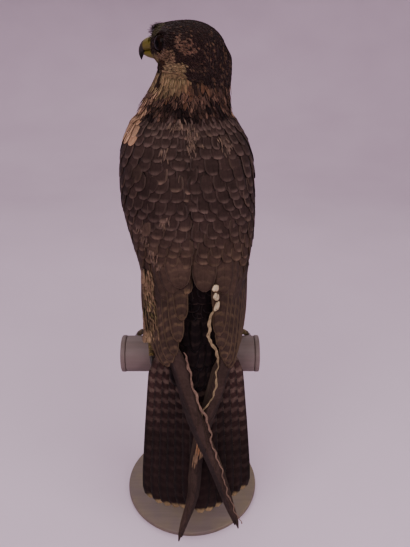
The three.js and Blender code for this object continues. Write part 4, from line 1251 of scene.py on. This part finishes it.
def wing_lift(wing, height):
    """How far the flight feathers stand off the bed: more towards the crossing of the wings' points."""
    return 1.0 + sum(rise * smooth(start, end, height) for start, end, rise in wing["rise"])


def degree_length(wing, height, angle):
    """The length in mm of the last degree up to a place over the bed."""
    return (bed_point(wing, height, angle, 4) - bed_point(wing, height, angle - 1, 4)).length


# Flight feathers: the heights of their roots and their widths; and each primary's tip, as a share of the way
# to the wing's point, with its step inwards in mm
PRIMARY_ROOT = 258
PRIMARY_WIDTH = 12.5
PRIMARIES = [
    (0.985, 0), (1, 0.9), (0.97, 1.7), (0.9, 2.4), (0.82, 3.1), (0.74, 3.8), (0.66, 4.6), (0.57, 5.4),
]
SECONDARY_ROOT = 284
SECONDARY_WIDTH = 13
# The waves of the worn inner rim: how far out, the height of one radian and the start; and its taper
RIM_WAVES = [(0.6, 2.7, 0), (0.6, 6.9, 1), (0.4, 1.4, 2)]
RIM_TAPER = [(0, 0.5), (0.08, 1), (0.35, 0.85), (0.6, 0.6), (1, 0.4)]


def build_primaries(coat, wing):
    """The long flight feathers of the hand, each over the one before it, down to the wing's point."""
    for order, (tip_share, step) in enumerate(PRIMARIES):
        tip = lerp(PRIMARY_ROOT, wing["point"], tip_share)

        def route(share):
            height = lerp(PRIMARY_ROOT, tip, share)
            lead = edge_angle(wing, "lead", height)
            degree = degree_length(wing, height, lead + 9)
            breadth = PRIMARY_WIDTH * breadth_at(PRIMARY_BREADTHS, share)
            room = max(0, (edge_angle(wing, "inner", height) - lead) * degree - breadth)
            inward = breadth / 2 + min(step * (1 + 3 * smooth(185, 250, height)), room)
            return height, lead + inward / degree, wing_lift(wing, height) + order * 0.7

        edge = blend_colour(FLIGHT, FLIGHT_EDGE, 0.35)
        look = look_of(FLIGHT, edge, FLIGHT_BAR, rims=(0.35, 0.3), bars=(9, 0.2, 0.3), vary=0.12)
        wing_vane(coat, wing, route, PRIMARY_BREADTHS, PRIMARY_WIDTH, 0, look, rows=FLIGHT_ROWS, shaft=-0.6)


def build_inner_rim(coat, wing):
    """The pale worn edge of the innermost vane that shows, wavy, from the tertials towards the point."""
    bottom, top = wing["rim"][0][0], wing["rim"][-1][0]

    def route(share):
        height = lerp(top, bottom, share)
        inner = station(wing["rim"], height)[1]
        wave = sum(size * math.sin(height / span + start) for size, span, start in RIM_WAVES)
        low = wing_lift(wing, height) + 0.6 + clamp(1.4 + 0.038 * (height - 35), 0.9, 4.9)
        lift = max(low, 7.8 * smooth(170, 192, height))
        return height, inner + wave / degree_length(wing, height, inner), lift

    edge = linear(wing["edge"])
    look = look_of(edge, edge, FLIGHT, rims=(0.3, 0.3), bars=(7, 0.6, 0.4), vary=0.05)
    places = np.linspace(0, 1, 50)
    outline = [(share, breadth_at(RIM_TAPER, share) * rng.uniform(0.45, 1.25)) for share in places]
    wing_vane(coat, wing, route, outline, wing["rim_width"], 0, look, rows=100)


def build_secondaries(coat, wing):
    """The flight feathers of the arm, over the primaries' roots."""
    tips = wing["secondaries"]
    for order, (tip, tip_angle) in enumerate(tips):
        across = lerp(0.16, 0.88, order / (len(tips) - 1))
        first, last = edge_angle(wing, "lead", SECONDARY_ROOT), edge_angle(wing, "inner", SECONDARY_ROOT)
        root_angle = lerp(first, last, across)
        root_lift = 0.5 * core_thickness(wing, SECONDARY_ROOT, root_angle)
        tip_lift = lerp(6.0, 7.9, clamp(order / 5)) - 3.2 * smooth(212, 244, tip)

        def route(share):
            height = lerp(SECONDARY_ROOT, tip, share)
            rise = ((SECONDARY_ROOT - height) / 104) ** 0.9
            return height, lerp(root_angle, tip_angle, share), lerp(root_lift, tip_lift, rise)

        ground = blend_colour(FLIGHT, LOWER_BACK, 0.3 + 0.6 * smooth(6, 9, order))
        edge = blend_colour(LOWER_EDGE, FLIGHT_EDGE, 0.8)
        bars = (rng.uniform(7, 10), 0.34, 0.0)
        look = look_of(ground, edge, FLIGHT_EDGE, rims=(0.9, 2.2), bars=bars, vary=0.14)
        wing_vane(coat, wing, route, REMEX_BREADTHS, SECONDARY_WIDTH, 12, look, rows=12)


COVERT_TIERS = [
    # how many, root and tip heights, width, from and to across the wing, how far the tips stand off
    (14, 290, 240, 13, 0.02, 0.72, 1.6),
    (14, 300, 254, 13, 0.02, 0.8, 1.0),
]
# The height at which the arm's thickness is taken for the tertials' tips
TERTIAL_BED = 262
# Loose tips by the right wing's inner edge: height, turn towards the back, lift, length, width and colour
LOOSE_TIPS = [
    (247, 70.5, 8.8, 5, 4.4, WHITE), (240.5, 69.5, 8.8, 5, 4.2, WHITE), (232, 68, 8.8, 7, 3, WHITE),
    (104, 85, 6.2, 12, 1.4, RUSTY), (99, 88, 6.4, 13, 1.6, RUSTY), (95, 85, 6.6, 11, 1.2, COLLAR),
    (91, 90, 6.2, 14, 1.5, COLLAR), (87, 92, 6.4, 12, 1.3, COLLAR),
]


def build_loose_tips(coat, wing):
    """Loose tips in pairs: white ones by the inner edge and rusty ones where the wings' points cross."""
    for height, angle, lift, length, width, colour in LOOSE_TIPS:
        for spread in (-0.9, 0.9):
            low, turn = height + rng.uniform(-1.2, 1.2), angle + spread

            def route(share):
                return low + length * (1 - share), turn - 2 * (1 - share), lift + 0.6 * share

            look = look_of(colour, blend_colour(colour, CREAM, 0.6), rims=(0.5, 1.2), vary=0.15)
            wing_vane(coat, wing, route, COVERT_BREADTHS, width * rng.uniform(0.8, 1.2), 0, look, rows=6)


def build_coverts(coat, wing):
    """Tiers of coverts over the roots of the flight feathers, the lower tier first."""
    for count, root, tip, width, start, end, stand in COVERT_TIERS:
        for order in range(count):
            across = lerp(start, end, (order + rng.uniform(-0.2, 0.2)) / (count - 1))
            low = tip + rng.uniform(-4.5, 4.5) - 5 * across
            build_covert(coat, wing, across, root, low, width, stand * (0.5 if across < 0.12 else 1))


def build_covert(coat, wing, across, root, low, width, stand):
    """One covert, from its root on the arm to its tip, which stands off the arm."""

    def route(share):
        height = lerp(root, low, share)
        angle = lerp(edge_angle(wing, "lead", height), edge_angle(wing, "inner", height), across)
        under = core_thickness(wing, root, angle) * 0.6
        over = core_thickness(wing, low, angle) + stand
        return height, angle, lerp(under, over, share**0.7)

    look = look_of(
        LOWER_BACK, LOWER_EDGE, LOWER_EDGE, rims=(rng.uniform(0.4, 0.8), rng.uniform(1.0, 1.7)),
        bars=(rng.uniform(7, 8.5), 0.5, 0.6), vary=0.18,
    )
    wing_vane(coat, wing, route, COVERT_BREADTHS, width, 7, look)


def build_tertials(coat, wing):
    """The broad round-ended feathers beside the midline, over the roots of the flight feathers."""
    for root, low, root_angle, tip_angle, width, stand in wing["tertials"]:

        def route(share):
            under = core_thickness(wing, root, root_angle) * 0.6
            over = core_thickness(wing, TERTIAL_BED, tip_angle) + stand
            return lerp(root, low, share), lerp(root_angle, tip_angle, share), lerp(under, over, share**0.7)

        look = look_of(
            LOWER_BACK, LOWER_EDGE, LOWER_EDGE, rims=(rng.uniform(0.5, 0.8), rng.uniform(1.1, 1.6)),
            bars=(rng.uniform(7, 8.5), 0.3, 0.1), vary=0.12,
        )
        wing_vane(coat, wing, route, COVERT_BREADTHS, width, 5, look, rows=12, columns=7)


def build_wing(name, wing):
    """The coat of one folded wing, from the primaries to what lies over them."""
    coat = Coat(f"plumage_wing_{name}")
    for build_tier in (build_primaries, build_inner_rim, build_secondaries, build_coverts, build_tertials):
        build_tier(coat, wing)
    if name == "right":
        build_loose_tips(coat, wing)
    return coat


# Tail


def tail_vane(coat, place, spread, ends, width, outs, outline, look, rows=FLIGHT_ROWS, fade=0.0, pale=0.0):
    """A vane of the fan: its place across it, its ends, its distances from the tail's plane; bars keep level.

    fade is how much its bars lose towards the tip, and pale how much lighter it is towards the root.
    """
    shares = vane_shares(rows)
    root, tip = ends
    _, strength, _ = look[4]
    middles, phases, strengths, shades = [], [], [], []
    shift = rng.uniform(-0.07, 0.07)
    for share in shares:
        height = lerp(root, tip, share)
        opening = lerp(0.24, 0.73, smooth(0, 0.3, share)) + 0.27 * share
        out = lerp(*outs, smooth(0, 0.35, share))
        top, behind = TAIL_ROOT
        base = Vector((TAIL_MIDDLE + place * spread * opening, behind + (top - height) * TAIL_SLOPE, height))
        middles.append(base + TAIL_FACE * out)
        phases.append(height / TAIL_BAR_SPACING + shift)
        strengths.append(strength * (1 - fade * smooth(190, 96, height)))
        shades.append(1 + pale * smooth(90, 180, height))
    breadths = [breadth_at(outline, share) for share in shares]
    frames = (middles, [Vector((-1, 0, 0))] * rows, [TAIL_FACE] * rows)
    coat.add(
        frames, shares, breadths, (root - tip, width), 5, look, coat.next_island(),
        arch=0.05, thick=0.35, stripes=(phases, strengths), shades=shades,
    )


def build_tail():
    """The fan of the tail, barred and pale at its tips, and the coverts above and below its root."""
    coat = Coat("plumage_tail")
    last = len(TAIL_TIPS) - 1
    for order, tip in enumerate(TAIL_TIPS):
        place = 1 - 2 * order / last
        layer = abs(place) * last / 2 + (0 if place < 0 else 0.5)
        outer = abs(place) ** 2
        bars = (9, 0.75 + 0.25 * outer, -0.25)
        look = look_of(TAIL_DARK, TAIL_TIP, TAIL_BAR, rims=(0.01, 3.2), bars=bars, vary=0.14)
        ends, outs = (TAIL_ROOT[0], tip), (-0.5 * layer, -0.9 * layer)
        tail_vane(
            coat, place, TAIL_SPREAD, ends, TAIL_WIDTH, outs, TAIL_BREADTHS, look, fade=0.9, pale=2.6 * outer
        )
    for above, tiers in ((True, UPPER_TAIL_COVERTS), (False, UNDER_TAIL_COVERTS)):
        for root, tip, count, spread, width, out in tiers:
            for order in range(count):
                place = 1 - 2 * order / (count - 1)
                layer = (1 - abs(place)) * 1.2 * (1 if above else -1) + (0.3 if place > 0 else 0)
                if above:
                    # the upper coverts lie between the wings: their dark brown painted near black, as painted
                    # shade
                    look = look_of(SHADED_RUMP, SHADED_RUMP, FLIGHT_BAR, rims=(0.2, 0.5), bars=(9, 0.14, 0.1))
                else:
                    look = look_of(BELLY, CREAM, STREAK, rims=(0.3, 0.8), bars=(8, 1.0, 0.3))
                ends = (root, tip + 8 * abs(place) + rng.uniform(-2, 2))
                outs = (0 if above else out * 0.7, out + layer)
                tail_vane(coat, place, spread, ends, width, outs, COVERT_BREADTHS, look, rows=9)
    return coat


# Bare parts and the mount

MOUNT_PIECES = [
    # the piece, its node, the axis that it is turned round, the rounding of its edges in mm, and its paint
    ("base_round", "base_disc", "Z", 1.4, "base"),
    ("upright", "perch_post", "Z", 0.4, "paint"),
    ("crossbar", "perch_bar", "X", 0.3, "paint"),
    ("end_cap_left", "perch_cap_left", "X", 1.2, "paint"),
    ("end_cap_right", "perch_cap_right", "X", 1.2, "paint"),
]
# How dark the skin is beside the feathers over it
SKIN_SHADE = 0.7


def on_eye(side):
    """The middle of an eye, in the head's place and turn."""
    return HEAD_AXES @ Matrix.Translation(Vector((EYE.x, side * EYE.y, EYE.z)) * MM)


def build_eye(name, side):
    """A glass eye: a polished ball, whose front the lids leave open."""
    bpy.ops.mesh.primitive_uv_sphere_add(segments=48, ring_count=32, radius=EYE_RADIUS * MM)
    eye = bpy.context.object
    eye.name = eye.data.name = f"glass_{name}"
    eye.matrix_world = on_eye(side) @ Matrix.Rotation(math.radians(-90 * side), 4, "X")
    bpy.ops.object.shade_smooth()
    return placed(eye, name, material=MATERIALS["eye"], slot="glass_eye")


def build_lid(name, side):
    """The bare ring of the lids round the eye's opening, narrowed from above and below."""
    away = math.sqrt(EYE_RADIUS**2 - EYE_OPENING**2) + LID_OUT
    bpy.ops.mesh.primitive_torus_add(
        major_segments=56, minor_segments=14,
        major_radius=(EYE_OPENING - LID_INSIDE) * MM, minor_radius=LID_THICK * MM,
    )
    lid = bpy.context.object
    lid.name = lid.data.name = f"lid_{name}"
    turned = Matrix.Rotation(math.radians(-side * EYE_TURN), 4, "Z")
    turned = turned @ Matrix.Rotation(math.radians(-90 * side), 4, "X")
    outward = Matrix.Translation(Vector((0, 0, away)) * MM) @ Matrix.Diagonal((1.0, LID_NARROWED, 1.0, 1.0))
    lid.matrix_world = on_eye(side) @ turned @ outward
    bpy.ops.object.shade_smooth()
    return placed(lid, material=MATERIALS["lid"], slot="foot_skin")


def build_bill():
    """The bill's two halves; the lower one is drawn up inside the upper one, so that the mouth is shut."""
    for name in ("upper_bill", "lower_bill"):
        horn = refined(copy_of([name], f"{name}_horn"), 0.35, 8)
        if name == "lower_bill":
            low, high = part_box(name)
            foot = ((low.x + high.x) / 2, (low.y + high.y) / 2, low.z)
            edit_whole(horn, bpy.ops.transform.resize, value=(1, 1, MOUTH_SHUT), center_override=foot)
        placed(horn, name, material=MATERIALS["bill"], slot="bill_horn")


def build_feet():
    """Scaled feet with their shanks, and a claw on each toe."""
    for side in ("left", "right"):
        nodes = [f"foot_{side}", f"tarsus_{side}"]
        foot = refined(copy_of(nodes, f"scaled_foot_{side}"), 0.6, 6)
        placed(foot, *nodes, material=MATERIALS["foot"], slot="foot_skin")
        for toe in ("inner", "middle", "outer", "hind"):
            name = f"claw_{toe}_{side}"
            claw = refined(copy_of([name], f"talon_{toe}_{side}"), 0.3, 4)
            placed(claw, name, material=MATERIALS["claw"], slot="claw_horn")


def turned_piece(name, node, axis, rounding, segments=96):
    """A turned, round-edged piece of the mount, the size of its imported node."""
    low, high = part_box(node)
    size = high - low
    along = "XYZ".index(axis)
    radius = max(size[i] for i in range(3) if i != along) / 2
    bpy.ops.mesh.primitive_cylinder_add(
        vertices=segments, radius=radius, depth=size[along], location=(low + high) / 2,
        rotation=(0, math.pi / 2, 0) if axis == "X" else (0, 0, 0),
    )
    piece = bpy.context.object
    piece.name = piece.data.name = name
    apply_modifier(
        piece, "BEVEL", width=rounding * MM, segments=4, limit_method="ANGLE", angle_limit=math.radians(40)
    )
    select_only(piece)
    bpy.ops.object.shade_smooth_by_angle(angle=math.radians(50))
    return piece


def build_mount():
    """The round base, the upright and the crossbar with its two end caps."""
    for name, node, axis, rounding, paint in MOUNT_PIECES:
        placed(turned_piece(name, node, axis, rounding), node, material=MATERIALS[paint], slot="perch_paint")


def tint_skin(skin):
    """The skin takes the same dark and pale areas as the coat over it."""
    tones = []
    for vertex in skin.data.vertices:
        place = vertex.co / MM
        ground = (head_look_at(place) if in_head(place) else body_look_at(place))[0]
        tones += [channel * SKIN_SHADE for channel in ground[:3]] + [1.0]
    layer = skin.data.attributes.new("ground", "FLOAT_COLOR", "POINT")
    layer.data.foreach_set("color", tones)


# The sheet: how far it lies flat and the radius of its bend, in metres
SHEET_REACH = 1.1
SHEET_BEND = 1.3
# From where to where the sheet is painted from greyer to paler, as painted shade on its far side, in metres
# along Y
SHEET_SHADE = (-1.0, 0.42)
# The camera's place in mm, how far it is turned up from looking straight down, its lens and its sensor
CAMERA_PLACE = Vector((-13.44, 411.84, 447.36))
CAMERA_TILT = 64
CAMERA_LENS = 35
CAMERA_SENSOR = 36
LAMP_COLOUR = (1.0, 0.93, 0.96)
LAMPS = [
    # name, place, size, power and what it is aimed at, in metres and watts
    ("window", (0.7, 1.2, 1.5), 1.2, 17, (0, 0, 0.25)),
    ("fill", (-1.0, 0.9, 1.2), 1.4, 14.5, (0, 0, 0.25)),
    ("front", (0.3, -1.3, 1.4), 1.2, 9, (0, 0, 0.25)),
    ("wall", (0.0, -0.9, 2.2), 1.2, 9, (0, -2.4, 0.9)),
]


def build_stage():
    """A pale sheet that curves up all round, painted greyer with shade towards its far side, soft light, and
    the camera behind and above the bird.
    """
    bend = [
        (SHEET_REACH + SHEET_BEND * math.sin(turn), 0, SHEET_BEND * (1 - math.cos(turn)))
        for turn in np.linspace(0, math.pi / 2, 13)
    ]
    mesh = bpy.data.meshes.new("floor")
    profile = [(0.001, 0, 0), *bend, (SHEET_REACH + SHEET_BEND, 0, 2 * SHEET_BEND)]
    mesh.from_pydata(profile, [(i, i + 1) for i in range(len(profile) - 1)], [])
    floor = new_object("floor", mesh)
    apply_modifier(floor, "SCREW", steps=96, render_steps=96, use_merge_vertices=True, use_smooth_shade=True)
    material, put, surface = new_material("pale_sheet")
    place = put("TexCoord", output="Object")
    cloud = put("TexNoise", {"Vector": place, "Scale": 5.0, "Detail": 2.0})
    away = put("SeparateXYZ", {0: place}, output=1)
    # painted shade: the sheet is greyer along -Y and paler along +Y, with soft blotches of painted crease
    # shade
    near = put("MapRange", {0: away, 1: SHEET_SHADE[0], 2: SHEET_SHADE[1]})
    painted_shade_blotched = put("Math", {0: cloud, 1: 0.25, 2: near}, operation="MULTIPLY_ADD")
    shade = put("Mix", {0: painted_shade_blotched, 6: linear(0xAE9CAA), 7: linear(0xDCCBD9)}, data_type="RGBA", output=2)
    wire(surface, {"Base Color": shade, "Roughness": 0.95})
    floor.data.materials.append(material)

    world = bpy.data.worlds.new("soft_room")
    bpy.context.scene.world = world
    world.use_nodes = True
    wire(world.node_tree.nodes["Background"], {"Color": linear(0xE0D4DC), "Strength": 0.7})
    for name, place, size, power, target in LAMPS:
        bpy.ops.object.light_add(type="AREA", location=place)
        lamp = bpy.context.object
        lamp.name = name
        lamp.data.size = size
        lamp.data.energy = power
        lamp.data.color = LAMP_COLOUR
        lamp.rotation_euler = (Vector(target) - Vector(place)).to_track_quat("-Z", "Y").to_euler()

    bpy.ops.object.camera_add(location=CAMERA_PLACE * MM, rotation=(math.radians(CAMERA_TILT), 0, math.pi))
    camera = bpy.context.object
    camera.data.lens = CAMERA_LENS
    camera.data.sensor_width = CAMERA_SENSOR
    camera.data.clip_start = 0.01
    bpy.context.scene.camera = camera


MATERIALS = {
    "body": plumage_material("contour_feathers", 0.9, 0.8, 0.02),
    "head": plumage_material("head_feathers", 0.6, 0.8, 0.03),
    "flight": plumage_material("flight_feathers", 1.1, 0.7, 0.02),
    "skin": skin_material(),
    "bill": bill_material(),
    "lid": scaled_skin_material("lid_skin", linear(0x120D0A), linear(0x080605), 1.0, 0.9),
    "foot": scaled_skin_material("foot_scales", linear(0x6E5E30), linear(0x2A2216), 2.2, 0.6),
    "claw": claw_material(),
    "eye": eye_material(),
    "paint": paint_material("crossbar_paint", linear(0x675852), linear(0x544640), 0.6),
    "base": paint_material("base_paint", linear(0x62554E), linear(0x6E624A), 0.65),
}

build_stage()
skin = build_skin()
surface = BVHTree.FromObject(skin, bpy.context.evaluated_depsgraph_get())
tint_skin(skin)
placed(
    skin, "head", "neck", "torso", "thigh_left", "thigh_right",
    material=MATERIALS["skin"], slot="dark_plumage",
)

wings = {name: build_wing(name, wing) for name, wing in WINGS.items()}
clothed = tree_of(skin, wings.values())
for coat in build_body_coat(surface):
    placed(coat.build(), material=MATERIALS["body"], slot="dark_plumage")
placed(build_head_coat(surface).build(), material=MATERIALS["head"], slot="dark_plumage")
placed(build_thigh_coat(surface, clothed).build(), material=MATERIALS["body"], slot="pale_plumage")
for name, coat in wings.items():
    placed(coat.build(), f"wing_{name}", material=MATERIALS["flight"], slot="dark_plumage")
placed(build_tail().build(), "tail", material=MATERIALS["flight"], slot="dark_plumage")

for name, side in (("eye_left", 1), ("eye_right", -1)):
    build_eye(name, side)
    build_lid(name, side)
build_bill()
build_feet()
build_mount()
